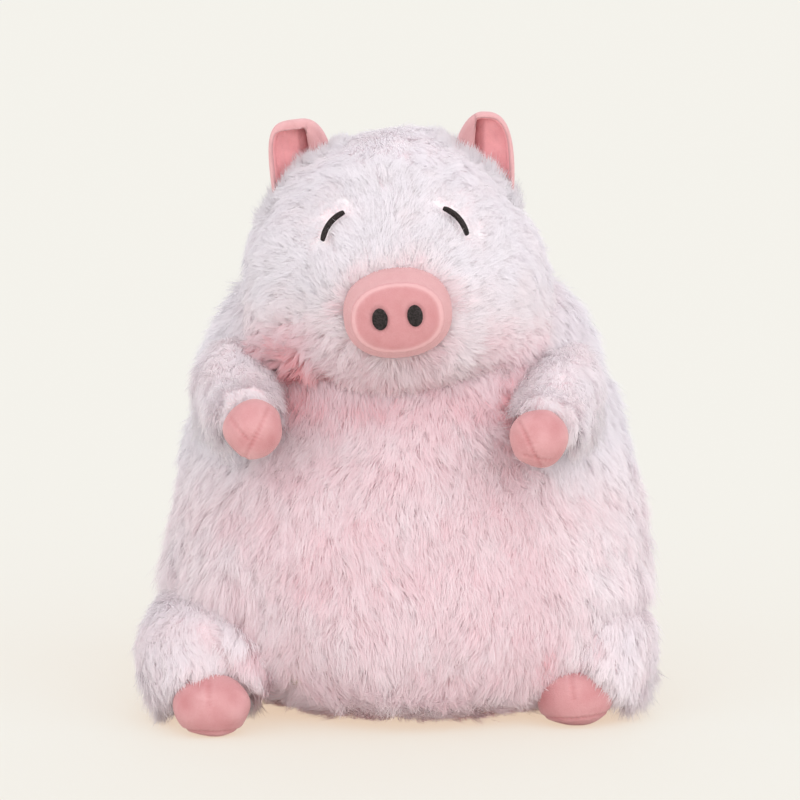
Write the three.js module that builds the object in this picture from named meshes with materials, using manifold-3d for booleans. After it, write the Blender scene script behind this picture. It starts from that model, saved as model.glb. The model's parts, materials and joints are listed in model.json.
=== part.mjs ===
// A seated stuffed pig in long-pile plush, with velour snout, ears, hands, feet and tail.
// Lengths are millimetres. The pig looks along -Y, +X is on the viewer's right and +Z is up.
// The model stands on the middle of its own box: the floor under it is z = 0.
import * as THREE from 'three';
import { mergeVertices } from 'three/addons/utils/BufferGeometryUtils.js';
import Module from 'manifold-3d';

const wasm = await Module();
wasm.setup();

// Driving sizes of the cloth
const cloth = {
  plushWall: 9, // long pile and its backing together
  velourWall: 1.6, // short pile and its backing
  seamGap: 0.35, // clearance between two sewn pieces
  jointGap: 0.6, // clearance between pieces that move against each other
  floorCut: 0.5, // how deep a stuffed form is pressed flat on the floor
};

// Driving sizes of the body: a blunt pear that leans back a little.
// Every blunt share is 0 for a half ellipse and goes towards 1 for a square end.
const torso = {
  height: 244,
  halfWidth: 134,
  front: 96,
  back: 85,
  lean: 16,
  slump: 8, // towards the viewer's right at the seat
  shoulderDrop: 55, // from its top to the middle of the arm's root
  hipHeight: 40,
  swellShares: [0.97, 1, 1, 0.955, 0.88, 0.85, 0.92],
  seatBluntShare: 0.444,
  neckBluntShare: 0.412,
};

// Driving sizes of the head: a dome with full cheeks whose chin hangs over the chest
const head = {
  chinDrop: 72, // how far its lowest point hangs under the top of the body
  height: 149,
  halfWidth: 83,
  front: 83,
  back: 79,
  forward: 8, // how far its middle lies before the body's
  tiltDegrees: 2.3, // towards the viewer's left
  swellShares: [0.95, 1, 1, 0.94, 0.93],
  chinBluntShare: 0.375,
  crownBluntShare: 0.024,
};

const neck = {
  openingRadius: 40, // where the two fillings meet through the sewn seam
  hingeBack: 10,
  hingeDrop: 44, // under the top of the body
  nodFromDegrees: -12,
  nodToDegrees: 8,
};

// Driving sizes of the snout: a padded oval drum, rolled a little more than the head
const snout = {
  halfWidth: 27.5,
  halfHeight: 23,
  projection: 21.2, // from the face to the front of the snout
  buried: 28.8, // how far its root starts behind the face
  overChin: 58,
  facePanelDepth: 6.5,
  rollDegrees: 3.7,
  swellShares: [0.98, 1.02, 0.99],
  rootBluntShare: 0.667,
  tipBluntShare: 0.444,
};

const nostril = {
  halfWidth: 4,
  halfHeight: 5.6,
  thickness: 1,
  apart: 18.2, // centre to centre
  above: 0.8, // over the snout's centre
  edgeBluntShare: 0.667,
};

const eye = {
  apart: 65, // centre to centre
  overChin: 103,
  chord: 21,
  slopeDegrees: 48,
  bulge: 3,
  halfWidth: 1.5,
  thickness: 1.1,
  endBluntShare: 0.667,
};

// Driving sizes of an ear: a rounded flap whose inner side is folded over its front.
// Seen from above, its outer face runs from the folded edge round the back to the other edge.
const ear = {
  length: 49,
  halfWidth: 18,
  depth: 13.5,
  acrossShares: [-0.11, -0.62, -1, -0.92, -0.39, 0.17, 0.67, 1], // of its half width, outwards
  forwardShares: [0.96, 0.93, 0.63, 0.19, 0, -0.04, 0.26, 0.85], // of its depth
  apexShare: 0.62, // where its highest point lies, of the way from the folded edge to the outer edge
  foldedBluntShare: 0.5,
  outerBluntShare: 0.3,
  foldNarrowShare: 0.45, // how much of the folded side's width its tip loses
  foldNarrowStartShare: 0.5, // of its length
  baseNarrowShare: 0.9,
  tipNod: 5, // how far the tip bends forward
  nodStartShare: 0.55, // of its length
  buried: 27, // how much of its length lies under the middle of its seam
  outwardDegrees: 5,
  apart: 93, // centre to centre at the base
  underCrown: 15, // from the top of the head down to the middle of its seam
  baseForward: 6,
  seamSlopeDegrees: 34, // of the head where the ear is sewn on, and of the line that it folds about
  foldBackDegrees: -12,
  foldFrontDegrees: 22,
};

// Driving sizes of the arms: short sleeves that reach forward, each with a ball for a hand.
// What is sunk lies that deep under the body's side.
const arm = {
  halfWidth: 27,
  rootHeight: torso.height - torso.shoulderDrop,
  rootSunk: 25,
  rootBack: 20,
  elbowSunk: 13,
  elbowForward: 42,
  elbowDrop: 6, // under the root
  cuffBack: 9, // from the hand's centre back to the end of the sleeve
  swellShares: [0.9, 1.05, 1.02, 0.86, 0.8],
  rootBluntShare: 0.167,
  cuffBluntShare: 0.412,
  endRadius: 15.3,
  endStretchShare: 1,
  wristShare: 0.62, // of the ball's radius: the way through from the sleeve into the ball
  pivotSunk: 27,
  pivotBack: 30,
  swingDegrees: 35,
  meetsHead: true,
};

// Driving sizes of the legs: fatter stubs on the floor, each with a broad ball for a foot
const leg = {
  halfWidth: 35,
  rootHeight: torso.hipHeight,
  rootSunk: 28,
  rootBack: 14,
  elbowSunk: 10,
  elbowForward: 34,
  elbowDrop: 0,
  cuffBack: 4,
  swellShares: [0.86, 1, 1.04, 0.98, 0.88],
  rootBluntShare: 0.231,
  cuffBluntShare: 0.412,
  endRadius: 16.4,
  endStretchShare: 1.28, // the foot is broader than it is tall
  wristShare: 0.62,
  pivotSunk: 37,
  pivotBack: 30,
  swingDegrees: 25,
  meetsHead: false,
};

// Where the ends of the limbs lie, from the body's side and front at the root's height.
// The toy slumps, so its two sides differ a little.
const footDrop = torso.hipHeight - leg.endRadius + cloth.floorCut;
const handPlaces = {
  left: { sunk: 35, ahead: 17, drop: 19 },
  right: { sunk: 39, ahead: 17, drop: 24 },
};
const footPlaces = {
  left: { sunk: 22, ahead: -15, drop: footDrop },
  right: { sunk: 28, ahead: -36, drop: footDrop },
};

const tail = {
  halfWidth: 5.2,
  rootHeight: 62,
  turnRadius: 9,
  turnLength: 24,
  turns: 1.25,
  inset: 5, // how far its root starts under the body's surface
  swellShares: [1.1, 1, 0.9, 0.72],
  bluntShare: 0.231,
  wagDegrees: 25,
};

// The weighted pouch spreads over the seat, and the loose filling lies on it
const pouch = {
  halfWidth: 108,
  front: 80,
  back: 72,
  height: 62,
  swellShares: [0.96, 1, 0.94],
  bluntShare: 0.333,
};

const evenShares = [1, 1, 1];
const ballBluntShare = 0;

// Facets: rings along a form and sectors round it
const facets = {
  body: { rings: 14, sectors: 28 },
  lining: { rings: 9, sectors: 18 },
  limb: { rings: 9, sectors: 15 },
  limbLining: { rings: 7, sectors: 10 },
  end: { rings: 7, sectors: 12 },
  trim: { rings: 5, sectors: 10 },
  curl: { rings: 16, sectors: 8 },
  flap: { across: 14, along: 8 },
  round: 20,
  arcSteps: 4,
  curlSteps: 8,
  sweepSteps: 2,
};

const finish = {
  plush: { color: 0xeddde2, roughness: 0.95, metalness: 0 },
  velour: { color: 0xe59da3, roughness: 0.85, metalness: 0 },
  stitching: { color: 0x2b2626, roughness: 0.6, metalness: 0 },
  filling: { color: 0xf5f4f0, roughness: 1, metalness: 0 },
  cotton: { color: 0xded3bd, roughness: 0.9, metalness: 0 },
};

const UP = new THREE.Vector3(0, 0, 1);
const RIGHT = new THREE.Vector3(1, 0, 0);
const BACK = new THREE.Vector3(0, 1, 0);

// The value at share t of an evenly spaced row of shares, on a smooth curve through them
function shareAlong(shares, t) {
  const points = shares.map((share, i) => new THREE.Vector2(i / (shares.length - 1), share));
  return new THREE.SplineCurve(points).getPoint(t).y;
}

// How full a closed end is at share t: 0 at both tips and 1 half way
function endShare(t, startBluntShare, endBluntShare) {
  const power = 2 / (1 - (t < 0.5 ? startBluntShare : endBluntShare));
  return Math.pow(Math.max(0, 1 - Math.pow(Math.abs(1 - 2 * t), power)), 1 / power);
}

// The half sizes of a form at share t of its spine
function sectionAt(form, t) {
  const share = shareAlong(form.swellShares, t) * endShare(t, form.startBluntShare, form.endBluntShare);
  return { side: form.halfWidth * share, front: form.front * share, back: form.back * share };
}

// The shares of the spine where a form has its rings, closer together towards its tips.
// A form that sits on the floor has one more, where the floor cuts it.
function ringShares(form, count) {
  const shares = [];
  for (let j = 0; j <= count; j++) {
    shares.push((1 - Math.cos((Math.PI * j) / count)) / 2);
  }
  if (form.seatShare) {
    shares.splice(1, 0, form.seatShare);
  }
  return shares;
}

// A closed surface that swells and tapers along a spine: rings of half ellipses, with a point at each tip.
// The rings of a level form lie flat, those of a curved one turn with its spine.
function plumpGeometry(form, { rings: count, sectors }) {
  const spine = form.spine;
  const straight = spine.getPoint(1).sub(spine.getPoint(0)).normalize();
  const shares = ringShares(form, count);
  const rings = shares.length - 1;
  const position = [];
  for (let j = 0; j <= rings; j++) {
    const t = shares[j];
    const centre = spine.getPoint(t);
    const along = form.level ?? (form.curved ? spine.getTangent(t) : straight);
    const side = form.sideways.clone().addScaledVector(along, -form.sideways.dot(along)).normalize();
    const rear = along.clone().cross(side);
    const half = sectionAt(form, t);
    const tip = j === 0 || j === rings;
    for (let i = 0; i < (tip ? 1 : sectors); i++) {
      const angle = (2 * Math.PI * i) / sectors;
      const depth = Math.sin(angle) > 0 ? half.back : half.front;
      const point = centre.clone();
      if (!tip) {
        point.addScaledVector(side, half.side * Math.cos(angle));
        point.addScaledVector(rear, depth * Math.sin(angle));
      }
      position.push(point.x, point.y, point.z);
    }
  }
  const ringStart = (j) => (j === 0 ? 0 : 1 + (j - 1) * sectors);
  const index = [];
  for (let i = 0; i < sectors; i++) {
    const next = (i + 1) % sectors;
    index.push(0, ringStart(1) + next, ringStart(1) + i);
    for (let j = 1; j < rings - 1; j++) {
      const [low, high] = [ringStart(j), ringStart(j + 1)];
      index.push(low + i, low + next, high + next, low + i, high + next, high + i);
    }
    index.push(ringStart(rings - 1) + i, ringStart(rings - 1) + next, ringStart(rings));
  }
  return indexedGeometry(position, index);
}

// Where a folded flap's outer face runs at share t of the way across it, seen from above
function flapLine(size) {
  const points = size.acrossShares.map((share, i) => {
    return new THREE.Vector2(share * size.halfWidth, -size.forwardShares[i] * size.depth);
  });
  return new THREE.SplineCurve(points);
}

// A folded flap between two depths under its outer face, narrower towards its tip, closed at its edges
function flapGeometry(size, hand, from, to, detail) {
  const line = flapLine(size);
  const [foldedPower, outerPower] = [size.foldedBluntShare, size.outerBluntShare].map((share) => 2 / (1 - share));
  const position = [];
  for (const depth of [from, to]) {
    for (let j = 0; j <= detail.along; j++) {
      const v = Math.sin((Math.PI * j) / (2 * detail.along + 1));
      const narrowing = size.baseNarrowShare + (1 - size.baseNarrowShare) * Math.min(1, 2 * v);
      const folded = size.apexShare * Math.pow(1 - Math.pow(v, foldedPower), 1 / foldedPower);
      const outer = (1 - size.apexShare) * Math.pow(1 - Math.pow(v, outerPower), 1 / outerPower);
      const foldShare = 1 - size.foldNarrowShare * THREE.MathUtils.smoothstep(v, size.foldNarrowStartShare, 1);
      const nod = size.tipNod * THREE.MathUtils.smoothstep(v, size.nodStartShare, 1);
      for (let i = 0; i <= detail.across; i++) {
        const u = ((2 * i) / detail.across - 1) * narrowing;
        const t = size.apexShare + u * (u < 0 ? folded : outer);
        const [point, step] = [line.getPoint(t), line.getTangent(t)];
        const [across, back] = [point.x + step.y * depth, point.y - step.x * depth];
        position.push(hand * across * (across < 0 ? foldShare : 1), back - nod, size.length * v);
      }
    }
  }
  const row = detail.across + 1;
  const layer = row * (detail.along + 1);
  const index = [];
  const quad = (a, b, c, d) => (hand > 0 ? index.push(a, b, c, a, c, d) : index.push(a, c, b, a, d, c));
  for (let j = 0; j < detail.along; j++) {
    for (let i = 0; i < detail.across; i++) {
      const a = j * row + i;
      quad(a + 1, a, a + row, a + row + 1);
      quad(layer + a + 1, layer + a + row + 1, layer + a + row, layer + a);
    }
    const [left, right] = [j * row, j * row + detail.across];
    quad(left, left + layer, left + layer + row, left + row);
    quad(right + layer, right, right + row, right + row + layer);
  }
  for (let i = 0; i < detail.across; i++) {
    const top = detail.along * row + i;
    quad(i, i + 1, i + 1 + layer, i + layer);
    quad(top + 1, top, top + layer, top + 1 + layer);
  }
  return indexedGeometry(position, index);
}

function indexedGeometry(position, index) {
  const geometry = new THREE.BufferGeometry();
  geometry.setAttribute('position', new THREE.Float32BufferAttribute(position, 3));
  geometry.setIndex(index);
  return geometry;
}

// A form drawn in by a length on every side, or grown where the length is negative
function inset(form, by) {
  const [start, end] = [form.spine.getPoint(0), form.spine.getPoint(1)];
  const length = start.distanceTo(end);
  const keep = (length - 2 * by) / length;
  const middle = start.clone().add(end).multiplyScalar(0.5);
  const shrink = (point) => point.clone().sub(middle).multiplyScalar(keep).add(middle);
  const spine = form.spine.clone();
  for (const key of ['v0', 'v1', 'v2']) {
    if (spine[key]) {
      spine[key].copy(shrink(spine[key]));
    }
  }
  return { ...form, spine, halfWidth: form.halfWidth - by, front: form.front - by, back: form.back - by };
}

// Solids and their cuts
function toSolid(geometry) {
  const bare = geometry.clone();
  bare.deleteAttribute('normal');
  bare.deleteAttribute('uv');
  const merged = mergeVertices(bare);
  return new wasm.Manifold(
    new wasm.Mesh({
      numProp: 3,
      vertProperties: new Float32Array(merged.attributes.position.array),
      triVerts: new Uint32Array(merged.index.array),
    }),
  );
}

function toGeometry(solid) {
  const { vertProperties, triVerts } = solid.getMesh();
  const geometry = new THREE.BufferGeometry();
  geometry.setAttribute('position', new THREE.BufferAttribute(vertProperties, 3));
  geometry.setIndex(new THREE.BufferAttribute(triVerts, 1));
  geometry.computeVertexNormals();
  return geometry;
}

const formSolid = (form, detail) => toSolid(plumpGeometry(form, detail));

// The matrix that turns a thing by degrees about a hinge
function hingeTurn(hinge, degrees) {
  const there = new THREE.Matrix4().makeTranslation(hinge.point);
  const turn = new THREE.Matrix4().makeRotationAxis(hinge.axis, THREE.MathUtils.degToRad(degrees));
  const back = new THREE.Matrix4().makeTranslation(hinge.point.clone().negate());
  return there.multiply(turn).multiply(back);
}

// Evenly spaced angles over a hinge's range, its rest at 0 among them
function hingeAngles(hinge) {
  const angles = [0];
  for (let i = 1; i <= facets.sweepSteps; i++) {
    for (const limit of [hinge.from, hinge.to]) {
      if (limit) {
        angles.push((limit * i) / facets.sweepSteps);
      }
    }
  }
  return angles;
}

// Cuts a moving solid so that it clears a still one at every angle of its hinge
function clearOfStill(solid, hinge, obstacle) {
  return hingeAngles(hinge).reduce(
    (left, degrees) => left.subtract(toSolid(obstacle.clone().applyMatrix4(hingeTurn(hinge, -degrees)))),
    solid,
  );
}

// Cuts a moving solid so that it clears another that turns on a hinge of its own
function clearOfMoving(solid, hinge, obstacle, itsHinge) {
  return hingeAngles(itsHinge).reduce(
    (left, degrees) => {
      return clearOfStill(left, hinge, obstacle.clone().applyMatrix4(hingeTurn(itsHinge, degrees)));
    },
    solid,
  );
}

// A disc or post with its axis along +Z between two heights
function postGeometry(radius, x, y, low, high) {
  const geometry = new THREE.CylinderGeometry(radius, radius, high - low, facets.round);
  geometry.rotateX(Math.PI / 2);
  geometry.translate(x, y, (low + high) / 2);
  return geometry;
}

function blockGeometry(low, high) {
  const size = high.clone().sub(low);
  const middle = high.clone().add(low).multiplyScalar(0.5);
  return new THREE.BoxGeometry(size.x, size.y, size.z).translate(middle.x, middle.y, middle.z);
}

function named(name, solid, look) {
  const mesh = new THREE.Mesh(toGeometry(solid), new THREE.MeshStandardMaterial(look));
  mesh.name = name;
  return mesh;
}

// A group that stands at a hinge and carries its pieces, so that turning the group moves them
function hingedGroup(hinge, pieces) {
  const group = new THREE.Group();
  group.position.copy(hinge.point);
  for (const piece of pieces) {
    piece.geometry.translate(-hinge.point.x, -hinge.point.y, -hinge.point.z);
    group.add(piece);
  }
  return group;
}

// Forms of the body and the head
const chinHeight = torso.height - head.chinDrop;
const crownHeight = chinHeight + head.height;
const bigReach = 2 * crownHeight;

const torsoForm = {
  spine: new THREE.LineCurve3(
    new THREE.Vector3(torso.slump, 0, -cloth.floorCut),
    new THREE.Vector3(0, torso.lean, torso.height),
  ),
  level: UP,
  seatShare: cloth.floorCut / (torso.height + cloth.floorCut),
  sideways: RIGHT,
  halfWidth: torso.halfWidth,
  front: torso.front,
  back: torso.back,
  swellShares: torso.swellShares,
  startBluntShare: torso.seatBluntShare,
  endBluntShare: torso.neckBluntShare,
};

const headForm = {
  spine: new THREE.LineCurve3(
    new THREE.Vector3(0, -head.forward, chinHeight),
    new THREE.Vector3(0, -head.forward, crownHeight),
  ),
  level: UP,
  sideways: RIGHT,
  halfWidth: head.halfWidth,
  front: head.front,
  back: head.back,
  swellShares: head.swellShares,
  startBluntShare: head.chinBluntShare,
  endBluntShare: head.crownBluntShare,
};

// The body's half sizes at a height over the floor
function torsoAt(height) {
  return sectionAt(torsoForm, (height + cloth.floorCut) / (torso.height + cloth.floorCut));
}

const neckHinge = {
  point: new THREE.Vector3(0, neck.hingeBack, torso.height - neck.hingeDrop),
  axis: RIGHT,
  from: neck.nodFromDegrees,
  to: neck.nodToDegrees,
};

// Everything on the head is drawn upright and then tilted about the neck
const headTilt = hingeTurn({ point: neckHinge.point, axis: BACK }, -head.tiltDegrees);
const tilted = (geometry) => geometry.applyMatrix4(headTilt);

// The body's grown shape, which every piece sewn to it or lying on it keeps clear of
const torsoKeepOut = plumpGeometry(inset(torsoForm, -cloth.jointGap), facets.body);
const headKeepOut = tilted(plumpGeometry(inset(headForm, -cloth.jointGap), facets.body));
const headSeamKeepOut = tilted(plumpGeometry(inset(headForm, -cloth.seamGap), facets.body));
const floorKeepOut = toSolid(
  blockGeometry(
    new THREE.Vector3(-bigReach, -bigReach, -bigReach),
    new THREE.Vector3(bigReach, bigReach, 0),
  ),
);

// A post through the sewn neck seam between two heights, as wide as the opening less a clearance
function neckPost(clearance, low, high) {
  return toSolid(postGeometry(neck.openingRadius - clearance, 0, torso.lean, low, high));
}

// The body: plush shell, a weighted pouch in the seat and loose filling over it
function torsoPieces() {
  const outer = formSolid(torsoForm, facets.body).subtract(floorKeepOut);
  const innerForm = inset(torsoForm, cloth.plushWall);
  const inside = formSolid(inset(innerForm, cloth.seamGap), facets.lining);
  const [low, high] = [torso.height / 2, torso.height + cloth.plushWall];
  const pouchFloor = cloth.plushWall + cloth.seamGap;
  const pouchForm = {
    ...torsoForm,
    spine: new THREE.LineCurve3(
      new THREE.Vector3(0, 0, pouchFloor),
      new THREE.Vector3(0, 0, pouchFloor + pouch.height),
    ),
    halfWidth: pouch.halfWidth,
    front: pouch.front,
    back: pouch.back,
    swellShares: pouch.swellShares,
    startBluntShare: pouch.bluntShare,
    endBluntShare: pouch.bluntShare,
  };
  const besidePouch = blockGeometry(
    new THREE.Vector3(-bigReach, -bigReach, 0),
    new THREE.Vector3(bigReach, bigReach, pouchFloor + pouch.height / 2),
  );
  const shell = outer.subtract(formSolid(innerForm, facets.lining)).subtract(neckPost(0, low, high));
  const filling = inside
    .add(neckPost(cloth.seamGap, low, high).intersect(outer))
    .subtract(formSolid(inset(pouchForm, -cloth.seamGap), facets.lining))
    .subtract(toSolid(besidePouch));
  return [
    named('torso_plush', shell, finish.plush),
    named('torso_filling', filling, finish.filling),
    named('weight_pouch', formSolid(pouchForm, facets.lining).intersect(inside), finish.cotton),
  ];
}

// The head: plush shell and filling, hollowed below so that it nods on the body
function headPieces() {
  const bodyGrown = (by) => plumpGeometry(inset(torsoForm, -by), facets.lining);
  const hollowed = (form, detail, keepOut) => {
    return clearOfStill(toSolid(tilted(plumpGeometry(form, detail))), neckHinge, keepOut);
  };
  const wallForm = inset(headForm, cloth.plushWall);
  const wallReach = cloth.jointGap + cloth.plushWall;
  const fillingForm = inset(wallForm, cloth.seamGap);
  const outer = hollowed(headForm, facets.body, torsoKeepOut);
  const inner = hollowed(wallForm, facets.lining, bodyGrown(wallReach));
  const inside = hollowed(fillingForm, facets.lining, bodyGrown(wallReach + cloth.seamGap));
  const [low, high] = [neckHinge.point.z, torso.height + 2 * cloth.plushWall];
  return [
    named('head_plush', outer.subtract(inner).subtract(neckPost(0, low, high)), finish.plush),
    named('head_filling', inside.add(neckPost(cloth.seamGap, low, high).intersect(outer)), finish.filling),
  ];
}

// Where the head's face lies, at a place across it and a height over the chin
function facePoint(across, overChin) {
  const half = sectionAt(headForm, overChin / head.height);
  const depth = half.front * Math.sqrt(Math.max(0, 1 - (across / half.side) ** 2));
  return new THREE.Vector3(across, -head.forward - depth, chinHeight + overChin);
}

// The snout's drum, and how what is sewn to it turns with it
const snoutFront = facePoint(0, snout.overChin).addScaledVector(BACK, -snout.projection);
const snoutForm = {
  spine: new THREE.LineCurve3(facePoint(0, snout.overChin).addScaledVector(BACK, snout.buried), snoutFront),
  sideways: RIGHT,
  halfWidth: snout.halfWidth,
  front: snout.halfHeight,
  back: snout.halfHeight,
  swellShares: snout.swellShares,
  startBluntShare: snout.rootBluntShare,
  endBluntShare: snout.tipBluntShare,
};
const snoutRoll = hingeTurn({ point: snoutFront, axis: BACK }, -snout.rollDegrees);

function snoutSolid(form, detail) {
  return toSolid(tilted(plumpGeometry(form, detail).applyMatrix4(snoutRoll)));
}

// The snout: a velour band sewn to the face, a front panel and the filling of both
function snoutPieces() {
  const wallForm = inset(snoutForm, cloth.velourWall);
  const fillingForm = inset(wallForm, cloth.seamGap);
  const offFace = (solid) => solid.subtract(toSolid(headSeamKeepOut));
  const hollow = snoutSolid(wallForm, facets.limbLining);
  const shell = offFace(snoutSolid(snoutForm, facets.limb)).subtract(hollow);
  const filling = offFace(snoutSolid(fillingForm, facets.limbLining));
  const seam = snoutFront.y + snout.facePanelDepth;
  const behind = blockGeometry(
    new THREE.Vector3(-bigReach, seam, 0),
    new THREE.Vector3(bigReach, bigReach, bigReach),
  );
  const before = blockGeometry(
    new THREE.Vector3(-bigReach, -bigReach, 0),
    new THREE.Vector3(bigReach, seam + cloth.seamGap, bigReach),
  );
  return [
    named('snout_band', shell.subtract(toSolid(before)), finish.velour),
    named('snout_front', shell.subtract(toSolid(behind)), finish.velour),
    named('snout_filling', filling, finish.filling),
  ];
}

// A nostril: an upright oval patch of satin stitch on the snout's front
function nostrilPiece(name, hand) {
  const spot = snoutFront.clone().add(new THREE.Vector3((hand * nostril.apart) / 2, 0, nostril.above));
  const patchForm = {
    spine: new THREE.LineCurve3(
      spot.clone().addScaledVector(BACK, snout.facePanelDepth),
      spot.clone().addScaledVector(BACK, -nostril.thickness),
    ),
    sideways: RIGHT,
    halfWidth: nostril.halfWidth,
    front: nostril.halfHeight,
    back: nostril.halfHeight,
    swellShares: evenShares,
    startBluntShare: nostril.edgeBluntShare,
    endBluntShare: nostril.edgeBluntShare,
  };
  const snoutKeepOut = snoutSolid(inset(snoutForm, -cloth.seamGap), facets.limb);
  return named(name, snoutSolid(patchForm, facets.trim).subtract(snoutKeepOut), finish.stitching);
}

// A closed eye: one arc of satin stitch that follows the face
function eyePiece(name, hand) {
  const slope = THREE.MathUtils.degToRad(eye.slopeDegrees);
  const spots = [];
  for (let i = 0; i <= facets.arcSteps; i++) {
    const share = i / facets.arcSteps;
    const run = eye.chord * (share - 0.5);
    const rise = eye.bulge * (4 * share * (1 - share) - 0.5);
    const across = eye.apart / 2 - run * Math.cos(slope) + rise * Math.sin(slope);
    const up = run * Math.sin(slope) + rise * Math.cos(slope);
    spots.push(facePoint(hand * across, eye.overChin + up).addScaledVector(BACK, -cloth.seamGap));
  }
  const arcForm = {
    spine: new THREE.CatmullRomCurve3(spots),
    curved: true,
    sideways: BACK,
    halfWidth: eye.thickness,
    front: eye.halfWidth,
    back: eye.halfWidth,
    swellShares: evenShares,
    startBluntShare: eye.endBluntShare,
    endBluntShare: eye.endBluntShare,
  };
  const arc = toSolid(tilted(plumpGeometry(arcForm, facets.trim)));
  return named(name, arc.subtract(toSolid(headSeamKeepOut)), finish.stitching);
}

// An ear: two velour panels, one inside the other, folded and sewn into the head at the base
function earGroup(name, hand) {
  const seam = new THREE.Vector3((hand * ear.apart) / 2, -ear.baseForward, crownHeight - ear.underCrown);
  const placement = new THREE.Matrix4()
    .makeTranslation(seam.clone().addScaledVector(UP, -ear.buried))
    .multiply(new THREE.Matrix4().makeRotationY(hand * THREE.MathUtils.degToRad(ear.outwardDegrees)));
  const slope = THREE.MathUtils.degToRad(hand * ear.seamSlopeDegrees - head.tiltDegrees);
  const hinge = {
    point: seam.applyMatrix4(headTilt),
    axis: RIGHT.clone().applyAxisAngle(BACK, slope),
    from: ear.foldBackDegrees,
    to: ear.foldFrontDegrees,
  };
  const layer = (from) => {
    const flap = flapGeometry(ear, hand, from, from + cloth.velourWall, facets.flap);
    return clearOfStill(toSolid(tilted(flap.applyMatrix4(placement))), hinge, headKeepOut);
  };
  return hingedGroup(hinge, [
    named(`ear_${name}_back`, layer(0), finish.velour),
    named(`ear_${name}_lining`, layer(cloth.velourWall + cloth.seamGap), finish.velour),
  ]);
}

// The plush sleeve of an arm or a leg, from its root under the body's side to its cuff
function sleeveForm(size, hand, place) {
  const side = torsoAt(size.rootHeight).side;
  const elbowHeight = size.rootHeight - size.elbowDrop;
  const cuff = place.clone().addScaledVector(BACK, size.cuffBack);
  cuff.z = Math.max(cuff.z, size.halfWidth * size.swellShares.at(-1));
  return {
    spine: new THREE.QuadraticBezierCurve3(
      new THREE.Vector3(hand * (side - size.rootSunk), size.rootBack, size.rootHeight),
      new THREE.Vector3(hand * (side - size.elbowSunk), -size.elbowForward, elbowHeight),
      cuff,
    ),
    curved: true,
    sideways: RIGHT,
    halfWidth: size.halfWidth,
    front: size.halfWidth,
    back: size.halfWidth,
    swellShares: size.swellShares,
    startBluntShare: size.rootBluntShare,
    endBluntShare: size.cuffBluntShare,
  };
}

// The ball of a hand or a foot
function ballForm(size, place, radius) {
  return {
    spine: new THREE.LineCurve3(
      place.clone().addScaledVector(BACK, radius),
      place.clone().addScaledVector(BACK, -radius),
    ),
    sideways: RIGHT,
    halfWidth: radius * size.endStretchShare,
    front: radius,
    back: radius,
    swellShares: evenShares,
    startBluntShare: ballBluntShare,
    endBluntShare: ballBluntShare,
  };
}

// The way through from the middle of a sleeve into its ball
function wristForm(size, sleeve, place, radius) {
  return {
    ...ballForm(size, place, radius),
    spine: new THREE.LineCurve3(sleeve.spine.getPoint(0.5), place),
    halfWidth: radius,
    startBluntShare: size.cuffBluntShare,
    endBluntShare: size.cuffBluntShare,
  };
}

// An arm or a leg: a plush sleeve, a velour ball sewn into its end, and one filling for both
function limbGroup(kind, endName, size, name, hand, at) {
  const body = torsoAt(size.rootHeight);
  const place = new THREE.Vector3(
    hand * (body.side - at.sunk),
    -body.front - at.ahead,
    size.rootHeight - at.drop,
  );
  const sleeveShape = sleeveForm(size, hand, place);
  const wallForm = inset(sleeveShape, cloth.plushWall);
  const ballWall = size.endRadius - cloth.velourWall;
  const wrist = size.endRadius * size.wristShare;
  const ballSolid = (radius) => formSolid(ballForm(size, place, radius), facets.end);
  const wristSolid = (radius) => formSolid(wristForm(size, sleeveShape, place, radius), facets.limbLining);
  const hinge = {
    point: new THREE.Vector3(hand * (body.side - size.pivotSunk), size.pivotBack, size.rootHeight),
    axis: UP.clone().multiplyScalar(hand),
    from: 0,
    to: size.swingDegrees,
  };
  const clear = (solid) => {
    const offTorso = clearOfStill(solid.subtract(floorKeepOut), hinge, torsoKeepOut);
    return size.meetsHead ? clearOfMoving(offTorso, hinge, headKeepOut, neckHinge) : offTorso;
  };
  const inner = formSolid(wallForm, facets.limbLining).add(wristSolid(wrist));
  const sleeve = formSolid(sleeveShape, facets.limb)
    .subtract(inner)
    .subtract(ballSolid(size.endRadius + cloth.seamGap));
  const ball = ballSolid(size.endRadius).subtract(ballSolid(ballWall)).subtract(inner);
  const filling = formSolid(inset(wallForm, cloth.seamGap), facets.limbLining)
    .add(wristSolid(wrist - cloth.seamGap))
    .add(ballSolid(ballWall - cloth.seamGap));
  return hingedGroup(hinge, [
    named(`${kind}_${name}_plush`, clear(sleeve), finish.plush),
    named(`${endName}_${name}`, clear(ball), finish.velour),
    named(`${kind}_${name}_filling`, clear(filling), finish.filling),
  ]);
}

// The tail: a short velour curl at the back
function tailGroup() {
  const leanThere = (torso.lean * tail.rootHeight) / torso.height;
  const hinge = {
    point: new THREE.Vector3(0, leanThere + torsoAt(tail.rootHeight).back, tail.rootHeight),
    axis: UP,
    from: -tail.wagDegrees,
    to: tail.wagDegrees,
  };
  const spots = [];
  for (let i = 0; i <= facets.curlSteps; i++) {
    const share = i / facets.curlSteps;
    const angle = 2 * Math.PI * tail.turns * share;
    spots.push(new THREE.Vector3(
      tail.turnRadius * Math.sin(angle),
      hinge.point.y - tail.inset + tail.turnLength * share,
      tail.rootHeight + tail.turnRadius * (1 - Math.cos(angle)),
    ));
  }
  const curlForm = {
    spine: new THREE.CatmullRomCurve3(spots),
    curved: true,
    sideways: UP.clone().add(RIGHT),
    halfWidth: tail.halfWidth,
    front: tail.halfWidth,
    back: tail.halfWidth,
    swellShares: tail.swellShares,
    startBluntShare: tail.bluntShare,
    endBluntShare: tail.bluntShare,
  };
  const curl = clearOfStill(formSolid(curlForm, facets.curl), hinge, torsoKeepOut);
  return hingedGroup(hinge, [named('tail', curl, finish.velour)]);
}

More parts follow.
